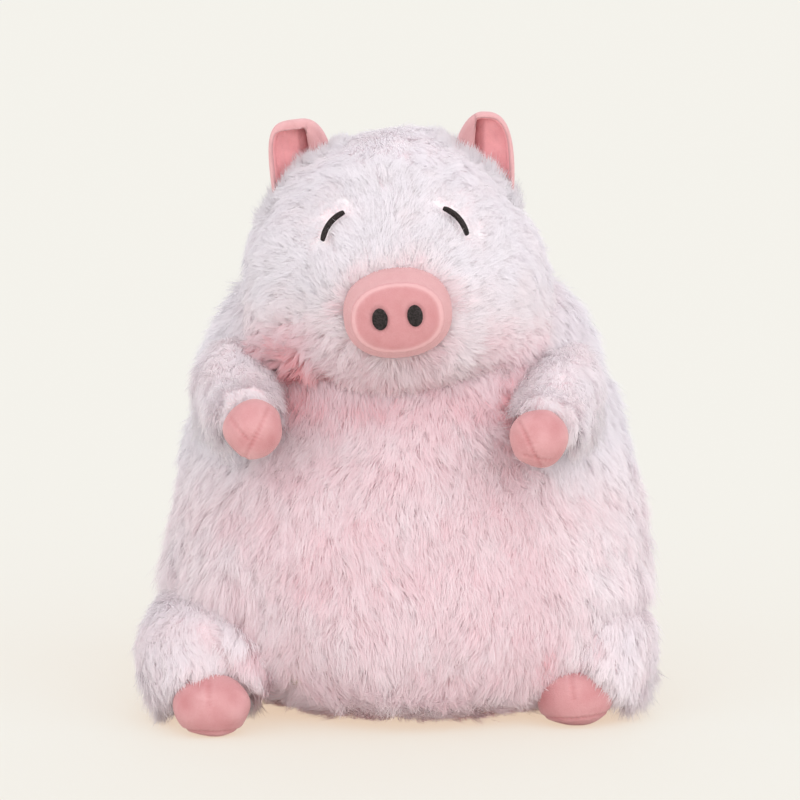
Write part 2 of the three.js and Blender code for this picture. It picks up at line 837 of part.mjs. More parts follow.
const sides = [['left', -1], ['right', 1]];
const headGroup = hingedGroup(neckHinge, [
  ...headPieces(),
  ...snoutPieces(),
  ...sides.map(([name, hand]) => nostrilPiece(`nostril_${name}`, hand)),
  ...sides.map(([name, hand]) => eyePiece(`eye_${name}`, hand)),
]);
const pig = new THREE.Group();
pig.add(headGroup, tailGroup(), ...torsoPieces());
for (const [name, hand] of sides) {
  headGroup.attach(earGroup(name, hand));
  pig.add(limbGroup('arm', 'hand', arm, name, hand, handPlaces[name]));
  pig.add(limbGroup('leg', 'foot', leg, name, hand, footPlaces[name]));
}

// The finished toy stands over the middle of its own box
const box = new THREE.Box3().setFromObject(pig);
pig.position.set(-(box.min.x + box.max.x) / 2, -(box.min.y + box.max.y) / 2, -box.min.z);

export default pig;
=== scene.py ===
"""A seated stuffed pig in long-pile plush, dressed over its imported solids.

Every shape is worked out in millimetres in the pig's own place, where it looks along -Y and +Z is up, and is
put into the frame in metres. A plump form is a stack of half ellipses along a spine that swells and tapers.
"""
import json
import math

import bpy
import numpy as np
from bpy.props import FloatProperty, FloatVectorProperty, PointerProperty
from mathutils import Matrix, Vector


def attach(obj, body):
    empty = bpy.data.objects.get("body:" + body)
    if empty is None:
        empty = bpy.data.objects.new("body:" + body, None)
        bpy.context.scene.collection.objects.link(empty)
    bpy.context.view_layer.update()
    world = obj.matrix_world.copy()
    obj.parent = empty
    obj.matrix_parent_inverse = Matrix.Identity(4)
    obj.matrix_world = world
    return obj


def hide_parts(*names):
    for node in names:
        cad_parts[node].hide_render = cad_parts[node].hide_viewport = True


bl_info = {
    "name": "Seated plush pig",
    "version": (1, 0, 0),
    "blender": (4, 5, 0),
    "location": "3D View > Sidebar > Plush pig",
    "description": "Sews, stuffs and furs a seated plush pig",
    "category": "Add Mesh",
}

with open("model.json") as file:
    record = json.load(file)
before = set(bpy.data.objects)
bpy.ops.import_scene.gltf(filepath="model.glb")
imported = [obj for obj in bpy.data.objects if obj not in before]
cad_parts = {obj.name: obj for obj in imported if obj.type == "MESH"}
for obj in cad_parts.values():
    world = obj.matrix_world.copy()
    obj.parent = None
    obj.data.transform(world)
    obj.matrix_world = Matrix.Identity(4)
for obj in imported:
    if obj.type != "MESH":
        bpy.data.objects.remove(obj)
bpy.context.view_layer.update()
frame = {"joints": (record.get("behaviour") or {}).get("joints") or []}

# Sizes of the forms in millimetres, as the solids have them
TORSO = dict(height=244, half=134, front=96, back=85, lean=16, slump=8, floor_cut=0.5,
             shares=(0.97, 1, 1, 0.955, 0.88, 0.85, 0.92), seat_blunt=0.444, neck_blunt=0.412)
HEAD = dict(chin_drop=72, height=149, half=83, front=83, back=79, forward=8, tilt=2.3,
            shares=(0.95, 1, 1, 0.94, 0.93), chin_blunt=0.375, crown_blunt=0.024)
NECK = dict(back=10, drop=44)
SNOUT = dict(half=26.8, tall=22.2, projection=21.2, buried=28.8, over_chin=58, roll=3.7)
NOSTRIL = dict(half=4, tall=5.6, apart=18.2, above=0.8)
EYE = dict(apart=65, over_chin=103.5, chord=18.6, slope=50, bulge=2.4, half=1.35, thick=1.0)
EAR = dict(length=49, half=18, buried=27, outward=5, apart=93, under_crown=15, forward=6, nod=5, cup=7.5,
           heart=(-1, 22), flap_edge=-4.4, lip=2.4, roll=4.4)
# How square the top is on the outer and the folded side, and how far its rim rolls over
EAR_TOPS = {"left": dict(outer=4.2, folded=3.0, band=5.4), "right": dict(outer=2.85, folded=2.25, band=2.6)}
ARM = dict(half=27, root_height=189, root_sunk=25, root_back=20, elbow_sunk=13, elbow_forward=42, elbow_drop=6,
           cuff_back=9, shares=(0.9, 1.05, 1.02, 0.86, 0.8), root_blunt=0.167, cuff_blunt=0.412, ball=15.3, broad=1,
           skin_depth=0.6, cuff_push=7)
LEG = dict(half=35, root_height=40, root_sunk=28, root_back=14, elbow_sunk=10, elbow_forward=34, elbow_drop=0,
           cuff_back=4, shares=(0.86, 1, 1.04, 0.98, 0.88), root_blunt=0.231, cuff_blunt=0.412, ball=16.4, broad=1.28,
           skin_depth=-1.0, cuff_push=5)
HANDS = {"left": (-76.7, -97, 170), "right": (72.7, -97, 165)}
FEET = {"left": (-100.9, -73.05, 15.9), "right": (94.9, -52.05, 15.9)}
# The fold on the inner side of a leg, from its top to its end, as x towards the middle and z off the foot
LEG_FOLD = np.array(((-4, 41), (26, -1)))
TAIL = dict(half=5.2, height=62, radius=9, length=24, turns=1.25, inset=5, shares=(1.1, 1, 0.9, 0.72))
SIDES = (("left", -1), ("right", 1))
UP, RIGHT = np.array((0.0, 0.0, 1.0)), np.array((1.0, 0.0, 0.0))
# Metres in a millimetre, millimetres in a metre, and a distance that is further than any effect reaches
MM, PER_METRE, FAR_OFF = 0.001, 1000, 99

CHIN = TORSO["height"] - HEAD["chin_drop"]
CROWN = CHIN + HEAD["height"]
NECK_POINT = np.array((0.0, NECK["back"], TORSO["height"] - NECK["drop"]))
# Where the pig's own middle lies in the frame, read from the place of its neck
MIDDLE = PER_METRE * np.array(next(j for j in frame["joints"] if j["name"] == "neck_nod")["pos_m"]) - NECK_POINT


# Numbers and fields

def unit(v):
    """Vectors brought to a length of 1."""
    return v / np.maximum(np.linalg.norm(v, axis=-1, keepdims=True), 1e-9)


def dot(a, b):
    return np.sum(a * b, axis=-1, keepdims=True)


def smooth(x, low, high):
    """0 up to low and 1 from high on, with an even S between."""
    t = np.clip((x - low) / (high - low), 0, 1)
    return t * t * (3 - 2 * t)


def bell(x, middle, width):
    """1 at the middle, falling to 0 over a width on both sides: exp(-((x - middle) / width)^2)."""
    return np.exp(-(((x - middle) / width) ** 2))


def share_along(shares, t):
    """A smooth curve through evenly spaced shares, each piece a cubic whose slopes come from its neighbours."""
    p = np.asarray(shares, float)
    last = len(p) - 1
    x = np.clip(t, 0, 1) * last
    i = np.minimum(np.floor(x).astype(int), last)
    w = x - i
    a, b = p[np.maximum(i - 1, 0)], p[i]
    c, d = p[np.minimum(i + 1, last)], p[np.minimum(i + 2, last)]
    rise, fall = (c - a) / 2, (d - b) / 2
    return ((2 * b - 2 * c + rise + fall) * w + 3 * c - 3 * b - 2 * rise - fall) * w * w + rise * w + b


def end_share(t, start, end):
    """How full a closed end is: (1 - |1 - 2t|^n)^(1/n), where n is 2 for a half ellipse and grows for a square end."""
    n = 2 / (1 - np.where(t < 0.5, start, end))
    return np.maximum(0, 1 - np.abs(1 - 2 * t) ** n) ** (1 / n)


def waves(points, wavelength, seed, terms=9):
    """A smooth uneven field of about -1 to 1: the sum of sine waves of nearly one length in random directions."""
    rng = np.random.default_rng(seed)
    ways = unit(rng.normal(size=(terms, 3)))
    pitch = 2 * np.pi / (wavelength * rng.uniform(0.7, 1.4, terms))
    return np.sin((points @ ways.T) * pitch + rng.uniform(0, 2 * np.pi, terms)).sum(-1) * math.sqrt(2 / terms)


def ripples(points, *terms):
    """A sum of uneven fields, each given as its height, wavelength and seed."""
    return sum(height * waves(points, wavelength, seed) for height, wavelength, seed in terms)


def turn_about(axis, degrees):
    """The 3 x 3 matrix that turns about a unit axis: cos I + sin [axis]x + (1 - cos) axis axis^T."""
    a, (x, y, z) = math.radians(degrees), axis
    cross = np.array(((0, -z, y), (z, 0, -x), (-y, x, 0)))
    return math.cos(a) * np.eye(3) + math.sin(a) * cross + (1 - math.cos(a)) * np.outer(axis, axis)


TILT = turn_about((0, 1, 0), -HEAD["tilt"])


def tilted(points):
    """Points on the upright head, turned with it about the neck."""
    return (points - NECK_POINT) @ TILT.T + NECK_POINT


def upright(points):
    """Points on the tilted head, turned back."""
    return (points - NECK_POINT) @ TILT + NECK_POINT


# Plump forms

class Plump:
    """A closed form: at share t of its spine, half an ellipse before it and half one behind it."""

    def __init__(self, spine, half, front, back, shares, start, end, level=False):
        self.spine = np.asarray(spine, float)
        self.half, self.front, self.back = half, front, back
        self.shares, self.start, self.end, self.level = shares, start, end, level

    def from_share(self, t):
        """The part of a curved form from a share of its spine on, closed again at that end."""
        _, b, c = self.spine
        spine = (self.centre(t), b * (1 - t) + c * t, c)
        shares = share_along(self.shares, t + (1 - t) * np.linspace(0, 1, len(self.shares)))
        return Plump(spine, self.half, self.front, self.back, shares, self.start, self.end, self.level)

    def centre(self, t):
        """A line, or the curve (1-t)^2 a + 2t(1-t) b + t^2 c."""
        t = np.asarray(t, float)[..., None]
        if len(self.spine) == 2:
            return self.spine[0] * (1 - t) + self.spine[1] * t
        a, b, c = self.spine
        return a * (1 - t) ** 2 + b * 2 * t * (1 - t) + c * t ** 2

    def along(self, t):
        t = np.asarray(t, float)[..., None]
        if self.level:
            return np.broadcast_to(UP, t.shape[:-1] + (3,))
        if len(self.spine) == 2:
            return np.broadcast_to(unit(self.spine[1] - self.spine[0]), t.shape[:-1] + (3,))
        a, b, c = self.spine
        return unit((b - a) * (1 - t) + (c - b) * t)

    def section(self, t):
        share = share_along(self.shares, t) * end_share(t, self.start, self.end)
        return self.half * share, self.front * share, self.back * share

    def surface(self, t, angle):
        """centre(t) + side cos(angle) half + rear sin(angle) (back or front), for arrays of t and angle."""
        along = self.along(t)
        side = unit(RIGHT - dot(RIGHT, along) * along)
        rear = np.cross(along, side)
        half, front, back = (s[..., None] for s in self.section(t))
        c, s = np.cos(angle)[..., None], np.sin(angle)[..., None]
        return self.centre(t) + side * half * c + rear * np.where(s > 0, back, front) * s

    def drawn_in(self, by, floor=None):
        """The form drawn in by a length on every side, or grown where it is negative."""
        a, b = self.spine[0], self.spine[-1]
        long = np.linalg.norm(b - a)
        spine = (self.spine - (a + b) / 2) * (long - 2 * by) / long + (a + b) / 2
        if floor is not None:
            spine[0][2] = floor
        return Plump(spine, self.half - by, self.front - by, self.back - by, self.shares, self.start, self.end,
                     self.level)

    def reach(self, points):
        """For a level form: each point's share of the way out from the middle to the wall, and the wall's size."""
        low, high = self.spine[0][2], self.spine[-1][2]
        t = (points[..., 2] - low) / (high - low)
        inside = np.clip(t, 1e-4, 1 - 1e-4)
        off = points - self.centre(inside)
        half, front, back = self.section(inside)
        deep = np.where(off[..., 1] > 0, back, front)
        out = np.hypot(off[..., 0] / half, off[..., 1] / deep)
        return np.where((t > 0) & (t < 1), out, 9.0), np.minimum(half, deep)

    def depth(self, points):
        """About how far a point lies under the wall of a level form; negative outside."""
        out, wall = self.reach(points)
        return (1 - out) * wall

    def nearest(self, points):
        """For a curved form: the share of the spine nearest to each point, and its distance less the wall's."""
        t = np.linspace(0, 1, 33)
        gap = np.linalg.norm(points[:, None] - self.centre(t), axis=-1)
        at = t[np.argmin(gap, axis=1)]
        return at, gap.min(axis=1) - self.section(np.clip(at, 0.04, 0.96))[0]


def pushed_out(points, form, gap):
    """Points inside a grown level form, moved level and outwards to its wall, as a stuffed limb lies against it."""
    grown = form.drawn_in(-gap)
    out, _ = grown.reach(points)
    low, high = grown.spine[0][2], grown.spine[-1][2]
    centre = grown.centre(np.clip((points[..., 2] - low) / (high - low), 0, 1))
    moved = points.copy()
    inside = out < 1
    flat = (points - centre)[inside] / np.maximum(out[inside], 0.05)[:, None]
    flat[:, 2] = 0
    moved[inside, :2] = (centre[inside] + flat)[:, :2]
    return moved


def lifted_off(points, form, gap):
    """Points inside a grown level form, raised to its top: the height is halved in on, 24 times."""
    grown = form.drawn_in(-gap)
    inside = grown.reach(points)[0] < 1
    low = points[inside].copy()
    high = low.copy()
    high[:, 2] = grown.spine[-1][2]
    for _ in range(24):
        middle = (low + high) / 2
        still = (grown.reach(middle)[0] < 1)[:, None]
        low, high = np.where(still, middle, low), np.where(still, high, middle)
    moved = points.copy()
    moved[inside] = high
    return moved


BODY_FORM = Plump(((TORSO["slump"], 0, -TORSO["floor_cut"]), (0, TORSO["lean"], TORSO["height"])), TORSO["half"],
                  TORSO["front"], TORSO["back"], TORSO["shares"], TORSO["seat_blunt"], TORSO["neck_blunt"], True)
HEAD_FORM = Plump(((0, -HEAD["forward"], CHIN), (0, -HEAD["forward"], CROWN)), HEAD["half"], HEAD["front"],
                  HEAD["back"], HEAD["shares"], HEAD["chin_blunt"], HEAD["crown_blunt"], True)


def limb_form(size, hand, place):
    """The sleeve of an arm or a leg: a bent form from under the body's side to the cuff behind its ball."""
    t = (size["root_height"] + TORSO["floor_cut"]) / (TORSO["height"] + TORSO["floor_cut"])
    side = float(BODY_FORM.section(np.array(t))[0])
    height = size["root_height"]
    spine = (
        (hand * (side - size["root_sunk"]), size["root_back"], height),
        (hand * (side - size["elbow_sunk"]), -size["elbow_forward"], height - size["elbow_drop"]),
        (place[0], place[1] + size["cuff_back"], max(place[2], size["half"] * size["shares"][-1])),
    )
    half = size["half"]
    return Plump(spine, half, half, half, size["shares"], size["root_blunt"], size["cuff_blunt"])


def face_point(across, over_chin):
    """Where the upright head's face lies, at a place across it and a height over the chin."""
    half, front, _ = HEAD_FORM.section(np.asarray(over_chin, float) / HEAD["height"])
    deep = front * np.sqrt(np.maximum(0, 1 - (across / half) ** 2))
    return np.stack(np.broadcast_arrays(across, -HEAD["forward"] - deep, CHIN + over_chin), -1)


SNOUT_FACE = face_point(0.0, SNOUT["over_chin"])
SNOUT_TIP = SNOUT_FACE - (0, SNOUT["projection"], 0)
ROLL = turn_about((0, 1, 0), -SNOUT["roll"])


# Meshes

def put(name, points, faces, look, body, replaces=(), uv=None, nap=None):
    """One finished piece: its points, its faces as arrays of corners, its material, the body that it rides on."""
    mesh = bpy.data.meshes.new(name)
    corners = np.concatenate([f.reshape(-1) for f in faces]).astype(np.int32)
    sizes = np.concatenate([np.full(len(f), f.shape[1]) for f in faces])
    starts = (np.cumsum(sizes) - sizes).astype(np.int32)
    mesh.vertices.add(len(points))
    mesh.loops.add(len(corners))
    mesh.polygons.add(len(starts))
    mesh.vertices.foreach_set("co", ((points + MIDDLE) * MM).astype(np.float32).ravel())
    mesh.loops.foreach_set("vertex_index", corners)
    mesh.polygons.foreach_set("loop_start", starts)
    mesh.update(calc_edges=True)
    mesh.polygons.foreach_set("use_smooth", np.ones(len(starts), bool))
    if uv is not None:
        layer = mesh.uv_layers.new(name="OFBake")
        layer.data.foreach_set("uv", uv[corners].astype(np.float32).ravel())
    if nap is not None:
        mesh.attributes.new("nap", "FLOAT", "POINT").data.foreach_set("value", nap.astype(np.float32).ravel())
    if mesh.validate():
        raise RuntimeError(f"{name} had faces that don't hold")
    piece = bpy.data.objects.new(name, mesh)
    bpy.context.scene.collection.objects.link(piece)
    mesh.materials.append(look)
    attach(piece, body)
    if replaces:
        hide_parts(*replaces)
    return piece


def ball_faces(rings, sectors):
    """The faces of a surface of rings between two poles: point 0, then each ring's points, then the last pole."""
    i = np.arange(sectors)
    after = (i + 1) % sectors
    last = 1 + rings * sectors
    ring = 1 + sectors * np.arange(rings - 1)[:, None]
    quads = np.stack((ring + i, ring + after, ring + sectors + after, ring + sectors + i), -1).reshape(-1, 4)
    low = np.stack((np.zeros_like(i), 1 + after, 1 + i), -1)
    high = np.stack((last - sectors + i, last - sectors + after, np.full_like(i, last)), -1)
    return [quads, low, high]


def ball_points(surface, rings, sectors):
    """surface(t, angle) on rings that lie closer together towards the two poles."""
    t = (1 - np.cos(np.pi * np.arange(rings + 2) / (rings + 1))) / 2
    angle = 2 * np.pi * np.arange(sectors) / sectors
    tt, aa = np.meshgrid(t[1:-1], angle, indexing="ij")
    zero = np.zeros(1)
    return np.concatenate((surface(zero, zero), surface(tt, aa).reshape(-1, 3), surface(zero + 1, zero)))


def grid(surface, rings, sectors):
    """surface(t, angle) on evenly spaced rings between its two poles, with every point's t."""
    t = np.repeat(np.arange(1, rings + 1) / (rings + 1), sectors)
    angle = np.tile(2 * np.pi * np.arange(sectors) / sectors, rings)
    t, angle = np.concatenate(((0,), t, (1,))), np.concatenate(((0,), angle, (0,)))
    return surface(t, angle), t


def outward(points, faces):
    """The faces turned so that they point out: the sum of a . (b x c) over their corners is six times the volume."""
    volume = 0.0
    for f in faces:
        a = points[f[:, 0]]
        for k in range(1, f.shape[1] - 1):
            volume += np.sum(a * np.cross(points[f[:, k]], points[f[:, k + 1]]))
    return faces if volume > 0 else [f[:, ::-1] for f in faces]


def read_back(piece):
    """The finished surface of a piece, modifiers included, in millimetres: points, normals and triangles."""
    seen = piece.evaluated_get(bpy.context.evaluated_depsgraph_get())
    mesh = seen.to_mesh()
    mesh.calc_loop_triangles()
    points = np.empty(len(mesh.vertices) * 3, np.float32)
    normals = np.empty(len(mesh.vertices) * 3, np.float32)
    corners = np.empty(len(mesh.loop_triangles) * 3, np.int32)
    mesh.vertices.foreach_get("co", points)
    mesh.vertices.foreach_get("normal", normals)
    mesh.loop_triangles.foreach_get("vertices", corners)
    seen.to_mesh_clear()
    points = points.reshape(-1, 3).astype(float) * PER_METRE - MIDDLE
    return points, normals.reshape(-1, 3).astype(float), corners.reshape(-1, 3)


# The stuffing: the cloth's pressure, the hold of its seams, how long it is blown up, and how a seam's hold is graded
STUFFING = dict(pressure=4, hold=4, frames=20, grades=(0.25, 0.5, 0.75, 1.0))


def stuffed(piece, seam, cap, voxel=5.0):
    """Stuffs a skin: evens out its mesh, blows it up as cloth that its seams hold back, and smooths it once.

    seam(points) is 1 on a sewn line and 0 away from it, and no point moves further than cap.
    """
    scene = bpy.context.scene
    evened = piece.modifiers.new("Evened", "REMESH")
    evened.mode, evened.voxel_size = "VOXEL", voxel * MM
    seen = piece.evaluated_get(bpy.context.evaluated_depsgraph_get())
    mesh = bpy.data.meshes.new_from_object(seen)
    mesh.name = piece.name
    piece.modifiers.remove(evened)
    piece.data = mesh
    points, _, _ = read_back(piece)
    held = piece.vertex_groups.new(name="seam")
    for share in STUFFING["grades"]:
        on = np.flatnonzero(seam(points) >= share - STUFFING["grades"][0] / 2)
        held.add(on.tolist(), share, "REPLACE")
    cloth = piece.modifiers.new("Stuffing", "CLOTH")
    cloth.settings.use_pressure = True
    cloth.settings.uniform_pressure_force = STUFFING["pressure"]
    cloth.settings.effector_weights.gravity = 0
    cloth.settings.vertex_group_mass = "seam"
    cloth.settings.pin_stiffness = STUFFING["hold"]
    cloth.collision_settings.use_collision = False
    for at in range(1, STUFFING["frames"] + 1):
        scene.frame_set(at)
    blown, _, _ = read_back(piece)
    piece.modifiers.remove(cloth)
    scene.frame_set(1)
    move = blown - points
    far = np.linalg.norm(move, axis=1, keepdims=True)
    move *= np.minimum(1, cap / np.maximum(far, 1e-6))
    piece.data.vertices.foreach_set("co", ((points + move + MIDDLE) * MM).astype(np.float32).ravel())
    piece.data.update()
    piece.vertex_groups.clear()
    piece.data.polygons.foreach_set("use_smooth", np.ones(len(piece.data.polygons), bool))
    once = piece.modifiers.new("Smoothed", "SUBSURF")
    once.levels = once.render_levels = 1


# Pile

# The tufts of each kind of skin: millimetres between two, strands in one, and how wide its strands' roots spread
BODY_TUFT = dict(spacing=3.2, strands=27, spread=1.8)
HEAD_TUFT = dict(spacing=2.9, strands=27, spread=1.7)
LIMB_TUFT = dict(spacing=2.75, strands=25, spread=1.6)
# How far a whole tuft and then each of its strands stray from the comb, in radians and as a share of the length
STRAY = dict(turn=(0.2, 0.2 * 0.7), lean=(0.1, 0.12), length=(0.12, 0.14))
LENGTH_LIMITS, WIDTH_LIMITS = (0.45, 1.5), (0.7, 1.3)
# The two steps of a strand: each one's share of the lean, its largest lean, and its pull to the tuft's middle
STRAND_STEPS = ((0.62, 1.35, 0.4), (1.28, 1.6, 0.5))
ROOT_SUNK, OVER_FLOOR, MOST_CLUMP, ROLL_STRAY, TONE_STRAY = 0.3, 0.4, 0.95, 0.3, 0.04
# A strand's place on the tone's ramp at its four points, and its way up it
TONE_ACROSS, WAY_UP = np.array((0, -1, 1, 0)) * 0.015, np.array((0.01, 0.5, 0.5, 0.99))
SKIN_SHARE, UP_SHARE = 0.9, 0.3
# A piece may have fewer than 200,000 faces, and a strand has two
MOST_STRANDS = 95_000


def scattered(piece, spacing, bare, rng):
    """Evenly spread places on a piece and their normals, about one to each square of the spacing but none where
    bare(points, normals) holds."""
    points, normals, corners = read_back(piece)
    a, b, c = (points[corners[:, k]] for k in range(3))
    area = np.linalg.norm(np.cross(b - a, c - a), axis=1) / 2
    area[bare((a + b + c) / 3, unit(normals[corners].sum(axis=1)))] = 0
    total = np.cumsum(area)
    count = int(total[-1] / spacing ** 2)
    pick = np.searchsorted(total, (np.arange(count) + rng.random(count)) / count * total[-1])
    u, v = rng.random((2, count, 1))
    u, v = np.where(u + v > 1, 1 - u, u), np.where(u + v > 1, 1 - v, v)
    places = a[pick] + u * (b - a)[pick] + v * (c - a)[pick]
    n = normals[corners[pick]]
    return places, unit(n[:, 0] * (1 - u - v) + n[:, 1] * u + n[:, 2] * v)


def tufts(places, normals, comb, look, rng):
    """Strands of pile in tufts: each leans from the normal towards the comb, bends on, and draws in to its tuft.

    A strand is a bent leaf of root, two middle points and tip. The root is the place plus a random step across the
    skin, the middle and tip follow two straight steps at growing leans, less a share of that random step. Returns
    the points of all strands (strands, 4, 3), their map (strands, 4, 2), with tone across it and the way up the
    strand up it, and their normals, part the strand's own, part the skin's and part up, as a dense pile scatters
    light.
    """
    count, many = len(places), look["strands"]
    flow, lean, length, tone, clump = comb(places, normals)
    flow = unit(flow - dot(flow, normals) * normals)
    n, f, s = normals[:, None], flow[:, None], np.cross(normals, flow)[:, None]

    def strayed(value, kind):
        """A value with one random draw for each tuft and one for each strand added."""
        by_tuft, by_strand = STRAY[kind]
        return value + rng.normal(0, by_tuft, (count, 1, 1)) + rng.normal(0, by_strand, (count, many, 1))

    step = rng.normal(0, look["spread"], (2, count, many, 1))
    off = step[0] * f + step[1] * s
    yaw = strayed(0, "turn")
    way = np.cos(yaw) * f + np.sin(yaw) * s
    tilt = strayed(lean[:, None, None], "lean")
    reach = length[:, None, None] * np.clip(strayed(1, "length"), *LENGTH_LIMITS)
    draw = off * np.clip(clump, 0, MOST_CLUMP)[:, None, None]
    leaf = [places[:, None] + off - n * ROOT_SUNK]
    for share, most, pull in STRAND_STEPS:
        bend = np.clip(tilt * share, 0, most)
        leaf.append(leaf[-1] + (np.cos(bend) * n + np.sin(bend) * way) * reach * 0.5 - draw * pull)
    root, middle, tip = leaf = [p.reshape(-1, 3) for p in leaf]
    for p in leaf:
        p[:, 2] = np.maximum(p[:, 2], OVER_FLOOR)
    along = unit(tip - root)
    normal = np.repeat(normals, many, axis=0)
    across = unit(np.cross(along, normal))
    roll = rng.normal(0, ROLL_STRAY, (len(root), 1))
    across = across * np.cos(roll) + np.cross(along, across) * np.sin(roll)
    width = bpy.context.scene.plush_sizes.strand_width
    wide = across * (width * rng.uniform(*WIDTH_LIMITS, (len(root), 1)) / 2)
    points = np.stack((root, middle - wide, middle + wide, tip), axis=1)
    shade = np.clip(np.repeat(tone, many) + rng.normal(0, TONE_STRAY, len(root)), 0.02, 0.98)
    uv = np.stack((shade[:, None] + TONE_ACROSS, np.broadcast_to(WAY_UP, (len(root), 4))), axis=-1)
    facing = unit(normal * SKIN_SHARE + np.cross(across, along) * (1 - SKIN_SHARE) + UP * UP_SHARE)
    return points, uv, np.repeat(facing[:, None], 4, axis=1)


def pile(name, skin, body, comb, bare, look, seed):
    """Covers a skin with pile, in as many pieces as keep each under the most faces that one may have."""
    rng = np.random.default_rng(seed)
    spacing = look["spacing"] / math.sqrt(bpy.context.scene.plush_sizes.density)
    places, normals = scattered(skin, spacing, bare, rng)
    order = rng.permutation(len(places))
    parts = max(1, math.ceil(len(order) / (MOST_STRANDS // look["strands"])))
    for k, chosen in enumerate(np.array_split(order, parts)):
        points, uv, facing = tufts(places[chosen], normals[chosen], comb, look, rng)
        start = 4 * np.arange(len(points))[:, None]
        faces = [start + (0, 2, 1), start + (1, 2, 3)]
        piece = put(f"{name}_pile_{k + 1}", points.reshape(-1, 3), faces, material("polyester_long_pile", pile_fibre),
                    body, uv=uv.reshape(-1, 2))
        piece.data.normals_split_custom_set_from_vertices(facing.reshape(-1, 3))


# Materials

def linear(colour):
    """An sRGB hex value as linear red, green and blue."""
    c = np.array([(colour >> shift & 255) / 255 for shift in (16, 8, 0)])
    return tuple(np.where(c <= 0.04045, c / 12.92, ((c + 0.055) / 1.055) ** 2.4).tolist())


def opaque(colour):
    """A colour with an alpha of 1, as sockets take it."""
    return (*tuple(colour)[:3], 1.0)


def add(tree, kind, sockets=(), ramp=None, **settings):
    """One shader node with its settings, the stops of its ramp, and its inputs: values, outputs, or nodes, which
    stand for their first output."""
    made = tree.nodes.new("ShaderNode" + kind)
    for key, value in settings.items():
        setattr(made, key, value)
    for key, value in dict(sockets).items():
        if isinstance(value, bpy.types.Node):
            value = value.outputs[0]
        if isinstance(value, bpy.types.NodeSocket):
            tree.links.new(value, made.inputs[key])
        else:
            made.inputs[key].default_value = value
    if ramp:
        stops = made.color_ramp.elements
        while len(stops) < len(ramp):
            stops.new(0.5)
        for stop, (place, colour) in zip(stops, ramp):
            stop.position, stop.color = place, opaque(colour)
    return made


def material(name, shader, *values):
    """The material of this name, made only once: shader(tree, *values) adds its nodes and gives back the last."""
    if name not in bpy.data.materials:
        made = bpy.data.materials.new(name)
        made.use_nodes = True
        made.node_tree.nodes.clear()
        add(made.node_tree, "OutputMaterial", {"Surface": shader(made.node_tree, *values)})
    return bpy.data.materials[name]


def texture(tree, kind, **sockets):
    """A texture in the piece's own place."""
    return add(tree, kind, {"Vector": add(tree, "TexCoord").outputs["Object"], **sockets})


def pile_fibre(tree):
    """Polyester long pile: each fibre is soft, lets half of its light through and is paler at its tip. A strand of
    the mesh stands for a loose lock of them, and three quarters of the light that would fall in its shadow pass
    between.

    The piece's map holds a tone across it, from the deep pink of a crease, which also stands for painted shade
    there, to the lilac white of the crown, and the way up the fibre up it. Both read a ramp, and the two ramps mix by
    the way up.
    """
    c = bpy.context.scene.plush_colours
    axes = add(tree, "SeparateXYZ", {0: add(tree, "UVMap", uv_map="OFBake")})
    tips = add(tree, "ValToRGB", {0: axes},
               ramp=((0.0, c.pile_crease), (0.45, c.pile_belly), (0.72, c.pile_flank), (1.0, c.pile_crown)))
    roots = add(tree, "ValToRGB", {0: axes}, ramp=((0.0, c.root_crease), (0.75, c.root_crown)))
    rise = add(tree, "MapRange", {0: axes.outputs[1], 1: 0.0, 2: 0.62}, interpolation_type="SMOOTHSTEP")
    colour = add(tree, "Mix", {0: rise, 6: roots, 7: tips}, data_type="RGBA").outputs[2]
    fibre = add(tree, "BsdfPrincipled", {
        "Base Color": colour, "Roughness": 0.8, "Specular IOR Level": 0.15, "IOR": 1.5})
    both = add(tree, "MixShader", {0: 0.5, 1: fibre, 2: add(tree, "BsdfTranslucent", {"Color": colour})})
    in_shadow = add(tree, "LightPath").outputs["Is Shadow Ray"]
    gaps = add(tree, "Math", {0: in_shadow, 1: 0.75}, operation="MULTIPLY")
    return add(tree, "MixShader", {0: gaps, 1: both, 2: add(tree, "BsdfTransparent")})


def knit_backing(tree):
    """The knitted backing under the pile, seen only as depth between tufts."""
    c = bpy.context.scene.plush_colours
    patch = texture(tree, "TexNoise", Scale=120.0, Detail=3.0)
    colour = add(tree, "ValToRGB", {0: patch}, ramp=((0.35, c.pile_belly), (0.65, c.root_crown)))
    knit = texture(tree, "TexVoronoi", Scale=900.0)
    bump = add(tree, "Bump", {"Height": knit.outputs["Distance"], "Strength": 0.4, "Distance": 0.0005})
    return add(tree, "BsdfPrincipled", {"Base Color": colour, "Roughness": 0.95, "Normal": bump})


BACKING = ("plush_knit_backing", knit_backing)


def velour(tree, deep, pale):
    """Knitted velour: a nap about half a millimetre long whose lie leaves paler and deeper strokes, and a soft sheen.

    A coarse field mixes the two tones by strokes some 6 mm wide, a fine one of 0.5 mm grains is the nap itself,
    and the points' own value, from 0 for deep to 1 for pale, shifts both: part the lie of the nap, part painted
    shade in hollows and seams and painted highlight on rims and swells.
    """
    stroke = texture(tree, "TexNoise", Scale=160.0, Detail=3.0, Roughness=0.6, Distortion=0.4)
    grain = texture(tree, "TexNoise", Scale=1500.0, Detail=2.0, Roughness=0.7)
    both = add(tree, "Mix", {0: 0.42, 2: stroke, 3: grain}, data_type="FLOAT")
    # The attribute holds the lie of the nap together with painted shade and painted highlight
    lie = add(tree, "Attribute", attribute_name="nap").outputs["Fac"]
    shade = add(tree, "Mix", {0: 0.6, 2: both, 3: lie}, data_type="FLOAT")
    colour = add(tree, "ValToRGB", {0: shade}, ramp=((0.22, deep), (0.78, pale)))
    bump = add(tree, "Bump", {"Height": grain, "Strength": 0.55, "Distance": 0.0006})
    return add(tree, "BsdfPrincipled", {
        "Base Color": colour, "Roughness": 0.85, "Normal": bump, "Sheen Weight": 0.35, "Sheen Roughness": 0.35,
        "Sheen Tint": opaque(linear(0xFFE4E4)), "Specular IOR Level": 0.25,
    })


